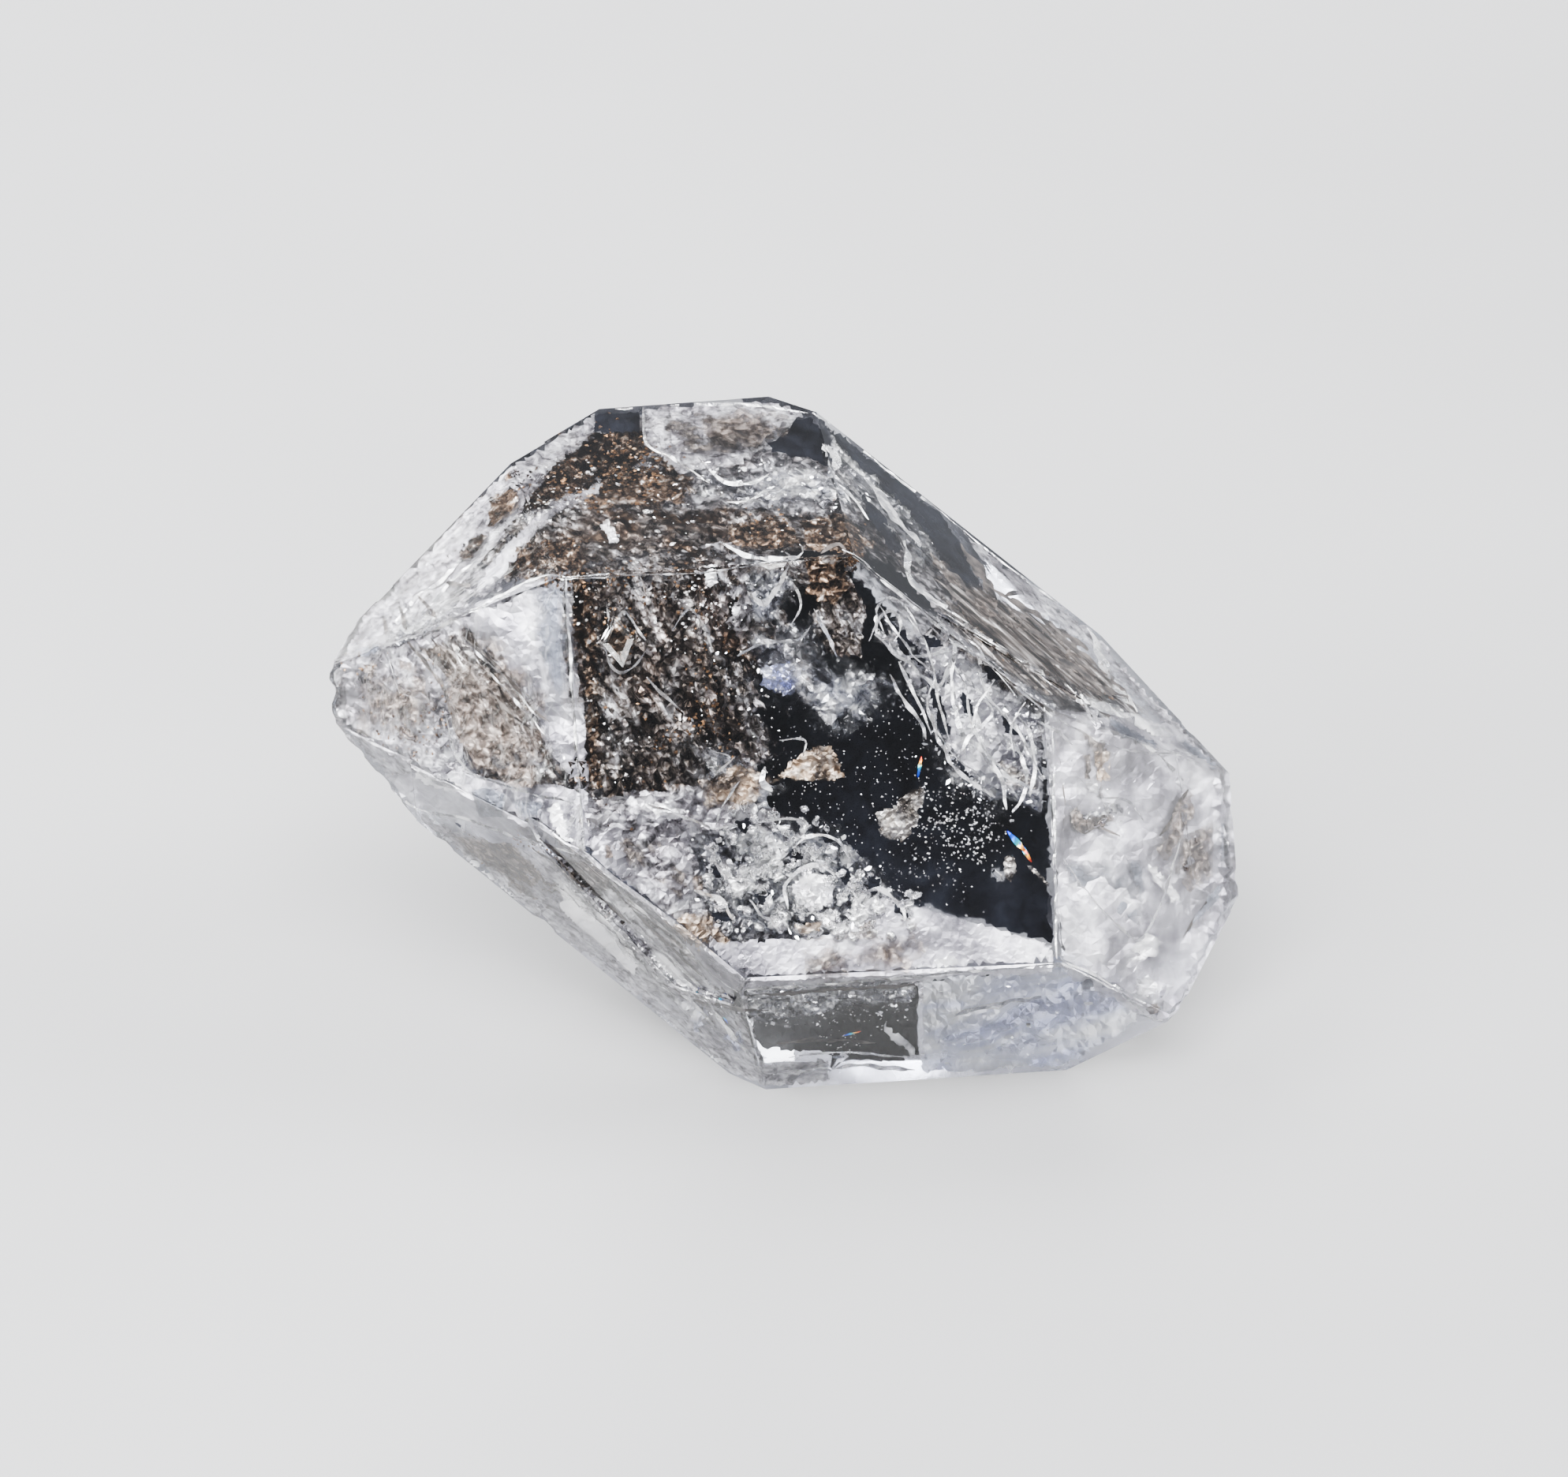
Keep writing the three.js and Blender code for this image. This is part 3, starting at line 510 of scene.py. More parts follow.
# The last number is by how many degrees the glints lie off.
GLINTS = [
    ("1104,775 1330,900 1325,1030 1200,1010", (0.3, 1.6), 150, (0.05, 0.24), 9),
    ("870,1040 1060,1035 1170,1150 1120,1195 890,1200", (0.15, 0.9), 130, (0.05, 0.26), 9),
    ("722,732 1010,722 970,870 1000,960 880,1040 750,1040", (0.2, 1.6), 190, (0.03, 0.16), 10),
    ("655,640 700,570 780,540 880,600 1060,640 1060,700 640,730", (0.2, 1.2), 140, (0.04, 0.17), 9),
    ("870,585 1030,580 1110,640 940,645", (0.2, 0.9), 60, (0.05, 0.26), 9),
    ("700,1100 840,1200 935,1290 900,1310 700,1130", (0.15, 0.6), 60, (0.05, 0.22), 12),
    ("940,1250 1160,1244 1150,1290 950,1306", (0.15, 0.8), 150, (0.04, 0.2), 10),
    ("560,830 640,850 720,960 640,985", (0.2, 0.9), 60, (0.04, 0.16), 10),
    ("1340,930 1440,950 1430,1060 1350,1050", (0.15, 0.5), 40, (0.04, 0.13), 10),
    ("1170,1245 1400,1245 1350,1345 1175,1350", (0.3, 1.0), 40, (0.06, 0.24), 12),
    ("1040,560 1200,690 1235,765 1080,630", (0.2, 0.9), 40, (0.06, 0.26), 12),
    ("1000,900 1180,900 1320,1060 1180,1130 1060,1110", (0.4, 4.0), 70, (0.03, 0.08), 12),
]
SPECTRUM_FLAKES = [
    # pixel, depth, length in millimetres, angle in degrees
    ((1166, 972), 0.5, 0.55, 80),
    ((1290, 1068), 0.5, 0.8, -48),
    ((1300, 1080), 0.5, 0.6, -58),
    ((1080, 1310), 0.5, 0.5, 20),
    ((918, 1290), 0.4, 0.45, 100),
    ((890, 1282), 0.4, 0.35, 40),
]


def pixels(text):
    """The x, y pairs of an outline or path."""
    return [tuple(int(number) for number in pair.split(",")) for pair in text.split()]


class Look:
    """A material being made: its Principled shader, and its nodes that are fed by values or by other nodes."""

    def __init__(self, name, **uniform):
        self.mat = bpy.data.materials.new(name)
        self.mat.use_nodes = True
        self.tree = self.mat.node_tree
        self.tree.nodes.clear()
        self.out = self.node("OutputMaterial")
        self.shader = self.node("BsdfPrincipled")
        self.feed(self.out, Surface=self.shader.outputs["BSDF"])
        self.coords = self.node("TexCoord").outputs["Object"]
        self.feed(self.shader, **uniform)

    def give(self, socket, value):
        if isinstance(value, bpy.types.NodeSocket):
            self.tree.links.new(value, socket)
        else:
            socket.default_value = value

    def feed(self, node, **inputs):
        for name, value in inputs.items():
            self.give(node.inputs[name.replace("_", " ")], value)

    def node(self, kind, settings=(), **inputs):
        node = self.tree.nodes.new("ShaderNode" + kind)
        for name, value in dict(settings).items():
            setattr(node, name, value)
        self.feed(node, **inputs)
        return node

    def noise(self, coords, scale, detail=4, distortion=0.0, roughness=0.5):
        return self.node(
            "TexNoise", Vector=coords, Scale=scale, Detail=detail, Distortion=distortion, Roughness=roughness,
        ).outputs["Fac"]

    def ramp(self, source, stops):
        """Colours, or greys where a stop has a single number, against the places of a source."""
        ramp = self.node("ValToRGB", Fac=source)
        while len(ramp.color_ramp.elements) < len(stops):
            ramp.color_ramp.elements.new(0.5)
        for element, (place, tone) in zip(ramp.color_ramp.elements, stops):
            element.position = place
            element.color = (*(tone if isinstance(tone, tuple) else (tone,) * 3), 1)
        return ramp.outputs["Color"]

    def product(self, a, b):
        mix = self.node("Mix", {"data_type": "RGBA", "blend_type": "MULTIPLY"}, Factor=1, A=a, B=b)
        return mix.outputs["Result"]

    def scaled_sum(self, source, factor, addend):
        node = self.node("Math", {"operation": "MULTIPLY_ADD"})
        for socket, value in zip(node.inputs, (source, factor, addend)):
            self.give(socket, value)
        return node.outputs["Value"]

    def bump(self, height, strength, distance, **normal):
        node = self.node("Bump", Height=height, Strength=strength, Distance=distance, **normal)
        return node.outputs["Normal"]


def quartz_material():
    look = Look("quartz", Base_Color=(1, 1, 1, 1), Transmission_Weight=1, IOR=QUARTZ_IOR)
    # The faces are polished in the middle and etched dull towards both tips.
    place = look.node("SeparateXYZ", Vector=look.coords)
    reach = look.node("Math", {"operation": "ABSOLUTE"}, Value=place.outputs["X"])
    dull = look.node("MapRange", From_Min=5.5 * MM, From_Max=11.5 * MM, Value=reach.outputs["Value"])
    patches = look.noise(look.coords, 300, 5)
    worn = look.scaled_sum(dull.outputs["Result"], 0.35, patches)
    # Fine growth lines run round the side faces, and low hillocks cover the end faces.
    stretch = look.node("Mapping", Scale=(6, 1, 1), Vector=look.coords)
    lines = look.bump(look.noise(stretch.outputs["Vector"], 300, 2), 0.10, 0.05 * MM)
    hillocks = look.noise(look.coords, 800, 6, 0.4)
    etched = look.scaled_sum(dull.outputs["Result"], 0.5, 0.12)
    look.feed(
        look.shader,
        Roughness=look.ramp(worn, [(0.40, 0.01), (0.9, 0.22)]),
        Normal=look.bump(hillocks, etched, 0.06 * MM, Normal=lines),
    )
    absorb = look.node("VolumeAbsorption", Color=(0.81, 0.82, 0.85, 1), Density=220)
    look.feed(look.out, Volume=absorb.outputs["Volume"])
    return look.mat


def sheet_material(
    name, tints, shade, roughness, metallic, holes, scales,
    bump=0, grain=None, stretch=0.12, detail=4, cells=None, mixed=0.5, gloss=0.5,
):
    """A fracture surface: tints at grain size, shaded in wider patches, with ragged holes and a thinning rim.

    holes is the opacity against the noise of the holes, which the distance from the rim adds to. scales
    are those of the grain, the patches and the holes, detail is that of the holes' noise, and mixed the
    roughness of the grain's. grain, where given, is the direction in which all three are drawn out, to a
    length of one over stretch. cells, where given, is the scale and the darkest tone of flat plates.
    """
    look = Look(name, Metallic=metallic, Specular_IOR_Level=gloss)
    coords = look.coords
    if grain is not None:
        turn = grain.rotation_difference(Vector((1, 0, 0))).to_euler()
        turned = look.node("Mapping", Rotation=turn, Vector=coords)
        drawn = look.node("Mapping", Scale=(stretch, 1, 1), Vector=turned.outputs["Vector"])
        coords = drawn.outputs["Vector"]
    fine = look.noise(coords, scales[0], 3, 0.5, mixed)
    patches = look.noise(coords, scales[1], 2, 0.8)
    colour = look.product(look.ramp(fine, tints), look.ramp(patches, shade))
    if cells:
        plates = look.node("TexVoronoi", Scale=cells[0], Vector=coords)
        pick = look.node("SeparateColor", Color=plates.outputs["Color"])
        colour = look.product(colour, look.ramp(pick.outputs["Red"], [(0.1, cells[1]), (0.9, 1)]))
    rim = look.node("Attribute", {"attribute_name": "rim"})
    cover = look.scaled_sum(rim.outputs["Fac"], 0.45, look.noise(coords, scales[2], detail, 1.0))
    look.feed(
        look.shader,
        Base_Color=colour,
        Roughness=look.ramp(patches, [(0.3, roughness[0]), (0.7, roughness[1])]),
        Alpha=look.ramp(cover, holes),
    )
    if bump:
        look.feed(look.shader, Normal=look.bump(fine, bump, 0.08 * MM))
    return look.mat


SHADED = [(0.34, (0.40, 0.38, 0.37)), (0.5, (0.86, 0.84, 0.83)), (0.64, 1)]
DEEPLY_SHADED = [(0.36, (0.16, 0.15, 0.15)), (0.48, (0.62, 0.59, 0.57)), (0.60, 1)]
WHOLE = [(0.62, 0), (0.72, 1)]
DOWN_RIGHT = RIGHT * 0.45 - UP * 0.89

SHEET_LOOKS = {
    "cloud": dict(
        tints=[(0.38, (0.03, 0.028, 0.030)), (0.50, (0.20, 0.19, 0.20)), (0.62, (0.70, 0.70, 0.74))],
        shade=DEEPLY_SHADED, roughness=(0.35, 0.6), metallic=0.9, bump=0.6,
        holes=[(0.5, 0), (0.66, 0.9)], scales=(3800, 750, 900),
    ),
    "lace": dict(
        tints=[(0.38, (0.006, 0.005, 0.005)), (0.52, (0.050, 0.041, 0.036)), (0.64, (0.20, 0.18, 0.165))],
        shade=SHADED, roughness=(0.3, 0.6), metallic=0.85, bump=0.5,
        holes=[(0.90, 0), (1.02, 0.85)], scales=(3800, 1100, 1900), grain=DOWN_RIGHT, stretch=0.55, detail=6,
    ),
    "crackle": dict(
        tints=[
            (0.35, (0.012, 0.010, 0.009)), (0.44, (0.11, 0.092, 0.080)), (0.52, (0.34, 0.315, 0.305)),
            (0.59, (0.70, 0.69, 0.71)), (0.66, 1),
        ],
        shade=[(0.36, (0.36, 0.25, 0.17)), (0.46, (0.72, 0.66, 0.62)), (0.59, 1)],
        roughness=(0.20, 0.45), metallic=0.95, bump=0.6, holes=WHOLE,
        scales=(3800, 800, 2000), grain=DOWN_RIGHT, stretch=0.38, cells=(2500, 0.35), mixed=0.62,
    ),
    "brown": dict(
        tints=[
            (0.38, (0.010, 0.007, 0.005)), (0.47, (0.070, 0.045, 0.030)), (0.55, (0.215, 0.145, 0.100)),
            (0.62, (0.44, 0.36, 0.295)), (0.70, (1, 0.98, 0.96)),
        ],
        shade=SHADED, roughness=(0.2, 0.5), metallic=0.9, bump=0.6, holes=WHOLE,
        scales=(3600, 1100, 1800), cells=(1900, 0.4), mixed=0.62,
    ),
    "tan": dict(
        tints=[(0.35, (0.22, 0.155, 0.105)), (0.5, (0.50, 0.40, 0.31)), (0.65, (0.84, 0.76, 0.68))],
        shade=DEEPLY_SHADED, roughness=(0.3, 0.6), metallic=0.85, bump=0.6,
        holes=[(0.55, 0), (0.85, 0.9)], scales=(4600, 1200, 1400),
    ),
    "cream": dict(
        tints=[(0.38, (0.30, 0.27, 0.24)), (0.5, (0.62, 0.58, 0.54)), (0.62, (0.97, 0.94, 0.91))],
        shade=[(0.38, (0.30, 0.28, 0.27)), (0.56, 1)], roughness=(0.15, 0.45), metallic=0.9, bump=0.6,
        holes=[(0.6, 0), (0.9, 0.7), (1.2, 0.9)], scales=(3000, 1700, 1800), cells=(2200, 0.5), mixed=0.65,
    ),
    "silver": dict(
        tints=[(0.36, (0.16, 0.16, 0.18)), (0.47, (0.55, 0.56, 0.60)), (0.57, 1)],
        shade=[(0.34, (0.40, 0.39, 0.41)), (0.48, (0.85, 0.85, 0.86)), (0.60, 1)],
        roughness=(0.14, 0.42), metallic=0.95, bump=0.5, holes=[(0.70, 0.05), (0.84, 0.75), (1, 1)],
        scales=(3000, 1000, 1300), grain=RIGHT * 0.7 - UP * 0.71, stretch=0.35, cells=(1300, 0.5), mixed=0.6,
    ),
    "streaks": dict(
        tints=[
            (0.37, (0.014, 0.012, 0.010)), (0.48, (0.115, 0.095, 0.082)), (0.57, (0.36, 0.335, 0.325)),
            (0.68, 1),
        ],
        shade=SHADED, roughness=(0.2, 0.45), metallic=0.95, bump=0.5,
        holes=[(0.68, 0.1), (0.84, 0.95)], scales=(3600, 1300, 1500), grain=RIGHT * 0.62 - UP * 0.78,
    ),
    "milk": dict(
        tints=[(0.36, (0.58, 0.57, 0.62)), (0.60, (0.85, 0.85, 0.89))],
        shade=[(0.36, (0.46, 0.45, 0.48)), (0.47, (0.80, 0.79, 0.82)), (0.60, 1)],
        roughness=(0.25, 0.55), metallic=0.9, bump=0.12, holes=[(0.45, 0.08), (0.72, 0.42), (1, 0.88)],
        scales=(2600, 480, 420), detail=2, cells=(560, 0.78), mixed=0.66,
    ),
    "frost": dict(
        tints=[
            (0.35, (0.10, 0.095, 0.10)), (0.44, (0.34, 0.33, 0.35)), (0.56, (0.66, 0.66, 0.69)),
            (0.68, (0.96, 0.96, 0.98)),
        ],
        shade=[(0.36, (0.50, 0.48, 0.50)), (0.48, (0.85, 0.84, 0.87)), (0.60, 1)],
        roughness=(0.25, 0.5), metallic=0.9, bump=0.3, holes=[(0.45, 0.15), (0.70, 0.60), (1, 0.92)],
        scales=(3800, 700, 600), detail=3, cells=(900, 0.72), mixed=0.62,
    ),
    "haze": dict(
        tints=[(0.36, (0.60, 0.59, 0.64)), (0.60, (0.95, 0.95, 0.98))],
        shade=[(0.36, (0.60, 0.59, 0.62)), (0.60, 1)], roughness=(0.25, 0.55), metallic=0.9,
        holes=[(0.62, 0), (1, 0.55)], scales=(2600, 480, 420), detail=3, cells=(560, 0.75), mixed=0.66,
    ),
    "glow": dict(
        tints=[(0.36, (0.93, 0.93, 0.95)), (0.62, 1)],
        shade=[(0.36, (0.80, 0.80, 0.82)), (0.60, 1)], roughness=(0.30, 0.5), metallic=0.95,
        holes=[(0.42, 0), (0.85, 0.95)], scales=(1500, 700, 700), detail=2,
    ),
    "slate": dict(
        tints=[(0.36, (0.10, 0.11, 0.135)), (0.62, (0.22, 0.235, 0.28))],
        shade=[(0.36, (0.7, 0.7, 0.72)), (0.60, 1)], roughness=(0.35, 0.6), metallic=0.8,
        holes=[(0.42, 0), (0.80, 0.92)], scales=(2600, 700, 700), detail=3, mixed=0.6,
    ),
    "umber": dict(
        tints=[(0.38, (0.035, 0.026, 0.021)), (0.50, (0.14, 0.112, 0.096)), (0.62, (0.38, 0.34, 0.315))],
        shade=SHADED, roughness=(0.3, 0.6), metallic=0.85, bump=0.4,
        holes=[(0.45, 0), (0.80, 0.85)], scales=(4200, 1100, 1500),
    ),
    "blue": dict(
        tints=[(0.36, (0.72, 0.75, 0.90)), (0.60, (0.97, 0.98, 1))],
        shade=[(0.36, (0.56, 0.58, 0.74)), (0.47, (0.88, 0.90, 0.98)), (0.60, 1)],
        roughness=(0.15, 0.4), metallic=0.95, bump=0.2, holes=[(0.5, 0.35), (0.75, 0.88), (1, 0.97)],
        scales=(900, 380, 400), grain=RIGHT * 0.8 + UP * 0.6, stretch=0.4, detail=2,
    ),
    # The painted shade: near black, and without sheen so that no highlight lifts it.
    "painted_shade": dict(
        tints=[(0.3, (0.004, 0.004, 0.006)), (0.7, (0.016, 0.018, 0.026))],
        shade=SHADED, roughness=(0.3, 0.6), metallic=0,
        holes=[(0.55, 0.95), (1, 0.995)], scales=(2000, 500, 400), gloss=0,
    ),
}


def speckled_material(name, scale, detail, tints=None, roughness=None, bump=0, **uniform):
    """A material whose colour, roughness and relief, where given, follow one noise."""
    look = Look(name, **uniform)
    patches = look.noise(look.coords, scale, detail)
    if tints:
        look.feed(look.shader, Base_Color=look.ramp(patches, tints))
    if roughness:
        look.feed(look.shader, Roughness=look.ramp(patches, roughness))
    if bump:
        look.feed(look.shader, Normal=look.bump(patches, bump, 0.05 * MM))
    return look.mat


def pearl_material(name):
    tints = [(0.35, (0.74, 0.74, 0.77)), (0.55, 1)]
    return speckled_material(name, 2600, 4, tints, [(0.35, 0.14), (0.65, 0.35)], 0.5, Metallic=0.95)


def spectrum_material():
    look = Look("spectrum_flakes", Metallic=0.9, Roughness=0.3)
    bands = look.node("SeparateXYZ", Vector=look.node("TexCoord").outputs["UV"])
    look.feed(look.shader, Base_Color=look.ramp(bands.outputs["X"], [
        (0.0, (0.01, 0.02, 0.50)), (0.3, (0.02, 0.15, 0.80)), (0.5, (0.05, 0.55, 0.60)),
        (0.68, (0.80, 0.42, 0.06)), (0.9, (0.62, 0.06, 0.03)),
    ]))
    return look.mat


crystal = bpy.data.objects["crystal"]
SHELL = BVHTree.FromPolygons(
    [crystal.matrix_world @ v.co for v in crystal.data.vertices],
    [tuple(p.vertices) for p in crystal.data.polygons],
)


def sight_line(px, py):
    """The ray of the photograph's camera through a pixel."""
    across = (px - PHOTO_WIDTH / 2) * PIXEL
    upward = (PHOTO_HEIGHT / 2 - py) * PIXEL
    return (RIGHT * across + UP * upward - BACK * VIEW_DISTANCE).normalized()


def bent(ray, normal):
    """The way a ray goes on inside the quartz after the face with this outward normal."""
    cosine = -ray.dot(normal)
    bend = 1 / QUARTZ_IOR
    under = 1 - bend * bend * (1 - cosine * cosine)
    return (ray * bend + normal * (bend * cosine - math.sqrt(under))).normalized()


def inside(px, py, depth):
    """The point so many millimetres inside the crystal at a pixel, down the bent sight line."""
    ray = sight_line(px, py)
    place, normal, _, _ = SHELL.ray_cast(EYE, ray)
    if place is None or normal.dot(ray) > 0:
        return None
    path = bent(ray, normal)
    far, _, _, length = SHELL.ray_cast(place + path * 1e-6, path)
    if far is None or length < THINNEST_QUARTZ:
        return None
    return place + path * min(max(depth * MM, LEAST_COVER), length - LEAST_COVER)


def clearance(point):
    return SHELL.find_nearest(point)[3]


def sides(outline):
    return zip(outline, outline[1:] + outline[:1])


def contains(outline, x, y):
    crossings = 0
    for (ax, ay), (bx, by) in sides(outline):
        if (ay > y) != (by > y) and x < (bx - ax) * (y - ay) / (by - ay) + ax:
            crossings += 1
    return crossings % 2 == 1


def rim_distance(outline, x, y):
    nearest = math.inf
    for (ax, ay), (bx, by) in sides(outline):
        dx, dy = bx - ax, by - ay
        t = min(max(((x - ax) * dx + (y - ay) * dy) / (dx * dx + dy * dy), 0), 1)
        nearest = min(nearest, math.hypot(x - ax - t * dx, y - ay - t * dy))
    return nearest


def random_pixel(rng, outline):
    xs, ys = zip(*outline)
    while True:
        x, y = rng.uniform(min(xs), max(xs)), rng.uniform(min(ys), max(ys))
        if contains(outline, x, y):
            return x, y


def random_turn(rng):
    axis = Vector((rng.gauss(0, 1), rng.gauss(0, 1), rng.gauss(0, 1))).normalized()
    return Matrix.Rotation(rng.uniform(0, math.tau), 3, axis)


def random_size(rng, small, large, skew=1):
    """In metres, with as many in each doubling of size, or more small ones where skew is over 1."""
    return small * (large / small) ** (rng.random() ** skew) * MM


def add_piece(name, verts, faces, mat, smooth=False):
    mesh = bpy.data.meshes.new(name)
    mesh.from_pydata(verts, [], faces)
    mesh.materials.append(mat)
    if smooth:
        mesh.shade_smooth()
    piece = bpy.data.objects.new(name, mesh)
    bpy.context.scene.collection.objects.link(piece)
    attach(piece, "root")
    return piece


def stray(px, py, z):
    """How a rim wanders at a pixel, in wide and in narrow waves."""
    return noise.noise(Vector((px / 38, py / 38, z))) + 0.5 * noise.noise(Vector((px / 13, py / 13, z + 9)))


def folds(u, v, z):
    """The height of sharp folds of three sizes."""
    height = -0.6
    for share, waves, shift in (1, 2.2, 0), (0.5, 6, 5), (0.25, 15, 7):
        height += share * (1 - 2 * abs(noise.noise(Vector((waves * u, waves * v, z + shift)))))
    return height


def sheet_mesh(rng, outline, depth, lean, fold, jag, step, ragged, rim, verts, faces, rims):
    xs, ys = zip(*outline)
    left, top = min(xs), min(ys)
    wide, high = max(xs) - left, max(ys) - top
    size = max(wide, high)
    z = rng.uniform(0, 90)
    columns, rows = int(wide / step) + 1, int(high / step) + 1
    points = {}
    for i in range(columns + 1):
        for j in range(rows + 1):
            px = left + i * step + rng.uniform(-0.36, 0.36) * step
            py = top + j * step + rng.uniform(-0.36, 0.36) * step
            if not contains(outline, px + ragged * stray(px, py, z), py + ragged * stray(px, py, z + 20)):
                continue
            leaning = lean[0] * ((px - left) / wide - 0.5) + lean[1] * ((py - top) / high - 0.5)
            folded = fold * 0.5 * folds(px / size, py / size, z)
            point = inside(px, py, depth + leaning + folded + jag * rng.uniform(-0.5, 0.5))
            if point is not None and clearance(point) > LEAST_CLEARANCE:
                points[i, j] = len(verts)
                verts.append(point)
                rims.append(min(rim_distance(outline, px, py) / rim, 1) if rim else 1.0)
    # A triangle that spans a jump, as where the faces of the crystal meet, is left out.
    longest = 8 * step * PIXEL + (jag + 0.6 * fold) * MM
    for i in range(columns):
        for j in range(rows):
            a, b, c, d = (i, j), (i + 1, j), (i + 1, j + 1), (i, j + 1)
            for half in ((a, b, d), (b, c, d)) if (i + j) % 2 else ((a, b, c), (a, c, d)):
                if all(corner in points for corner in half):
                    tri = tuple(points[corner] for corner in half)
                    if max((verts[tri[k]] - verts[tri[k - 1]]).length for k in range(3)) < longest:
                        faces.append(tri)


def add_sheets():
    for seed, (name, sheets) in enumerate(SHEETS.items()):
        rng = random.Random(40 + seed)
        verts, faces, rims = [], [], []
        for outline, *lie in sheets:
            sheet_mesh(rng, pixels(outline), *lie, verts, faces, rims)
        piece = add_piece(name, verts, faces, sheet_material(name, **SHEET_LOOKS[name]))
        layer = piece.data.attributes.new("rim", "FLOAT", "POINT")
        layer.data.foreach_set("value", rims)


def smooth_line(path):
    """Points some five pixels apart on a smooth curve through those of the path."""
    ends = [path[0], *path, path[-1]]
    line = []
    for a, b, c, d in zip(ends, ends[1:], ends[2:], ends[3:]):
        parts = max(2, int(math.dist(b, c) / 5))
        for k in range(parts):
            t = k / parts
            line.append(tuple(
                q + 0.5 * t * (r - p + t * (2 * p - 5 * q + 4 * r - s + t * (3 * (q - r) + s - p)))
                for p, q, r, s in zip(a, b, c, d)
            ))
    return [*line, path[-1]]


def add_threads(name, mat, seed):
    """Flat ribbons that sway, swell and taper along their paths."""
    rng = random.Random(seed)
    verts, faces = [], []
    for path, depth, width in THREADS[name]:
        z = rng.uniform(0, 90)
        line = smooth_line(pixels(path))
        rails = []
        for k, (px, py) in enumerate(line):
            before, after = line[max(k - 1, 0)], line[min(k + 1, len(line) - 1)]
            across = Vector((before[1] - after[1], after[0] - before[0])).normalized()
            taper = min(1, 0.35 + 3 * min(k, len(line) - 1 - k) / len(line))
            swell = 1 + 1.1 * noise.noise(Vector((px / 14, py / 14, z)))
            sway = width * 0.6 * noise.noise(Vector((px / 20, py / 20, z + 30)))
            half = max(0.5, width * 0.5 * taper * swell)
            deeper = depth + 0.12 * noise.noise(Vector((px / 26, py / 26, z + 60)))
            rail = []
            for side in (-1, 1):
                off = sway + side * half
                rail.append(inside(px + across.x * off, py + across.y * off, deeper + 0.02 * side))
            if None in rail or min(clearance(point) for point in rail) < LEAST_CLEARANCE:
                rails.append(None)
                continue
            rails.append(len(verts))
            verts.extend(rail)
        for a, b in zip(rails, rails[1:]):
            if a is not None and b is not None and (verts[a] - verts[b]).length < LONGEST_LINK:
                faces.append((a, a + 1, b + 1, b))
    add_piece(name, verts, faces, mat)


def add_grains(name, mat, seed):
    """Uneven octahedra, scattered about a few knots in each outline."""
    rng = random.Random(seed)
    verts, faces = [], []
    corners = [(1, 0, 0), (-1, 0, 0), (0, 1, 0), (0, -1, 0), (0, 0, 1), (0, 0, -1)]
    tris = [(0, 2, 4), (2, 1, 4), (1, 3, 4), (3, 0, 4), (2, 0, 5), (1, 2, 5), (3, 1, 5), (0, 3, 5)]
    for outline, (near, deep), count, (small, large), spread in GRAINS[name]:
        knots = [random_pixel(rng, pixels(outline)) for _ in range(max(4, count // 18))]
        for _ in range(count):
            kx, ky = rng.choice(knots)
            centre = inside(rng.gauss(kx, spread), rng.gauss(ky, spread), rng.uniform(near, deep))
            size = rng.uniform(small, large) * MM
            if centre is None or clearance(centre) < size * 0.6:
                continue
            turn = random_turn(rng)
            start = len(verts)
            for corner in corners:
                verts.append(centre + turn @ (Vector(corner) * size * 0.5 * rng.uniform(0.45, 1.1)))
            faces.extend(tuple(start + i for i in tri) for tri in tris)
    add_piece(name, verts, faces, mat)


def unit_ball():
    form = bmesh.new()
    bmesh.ops.create_icosphere(form, subdivisions=3, radius=0.5)
    ball = [v.co.copy() for v in form.verts], [tuple(v.index for v in f.verts) for f in form.faces]
    form.free()
    return ball


def add_rounded(name, lumps, mat, seed, outward):
    """Rounded, dented lumps. A hollow faces inwards, so that the quartz round it bends the light."""
    rng = random.Random(seed)
    ball, tris = unit_ball()
    verts, faces = [], []
    for outline, (near, deep), count, (small, large) in lumps:
        for _ in range(count):
            px, py = random_pixel(rng, pixels(outline))
            centre = inside(px, py, rng.uniform(near, deep))
            size = random_size(rng, small, large)
            if centre is None or clearance(centre) < size * 0.66:
                continue
            turn = random_turn(rng)
            squash = Vector((rng.uniform(0.7, 1.1), rng.uniform(0.7, 1.1), rng.uniform(0.4, 0.8)))
            shift = Vector((rng.uniform(0, 50), 0, rng.uniform(0, 50)))
            start = len(verts)
            for co in ball:
                lump = 1 + 0.5 * noise.noise(co * 3.2 + shift) + 0.2 * noise.noise(co * 8 + shift)
                verts.append(centre + turn @ (co * squash * lump * size))
            faces.extend(tuple(start + i for i in (tri if outward else reversed(tri))) for tri in tris)
    add_piece(name, verts, faces, mat, smooth=True)


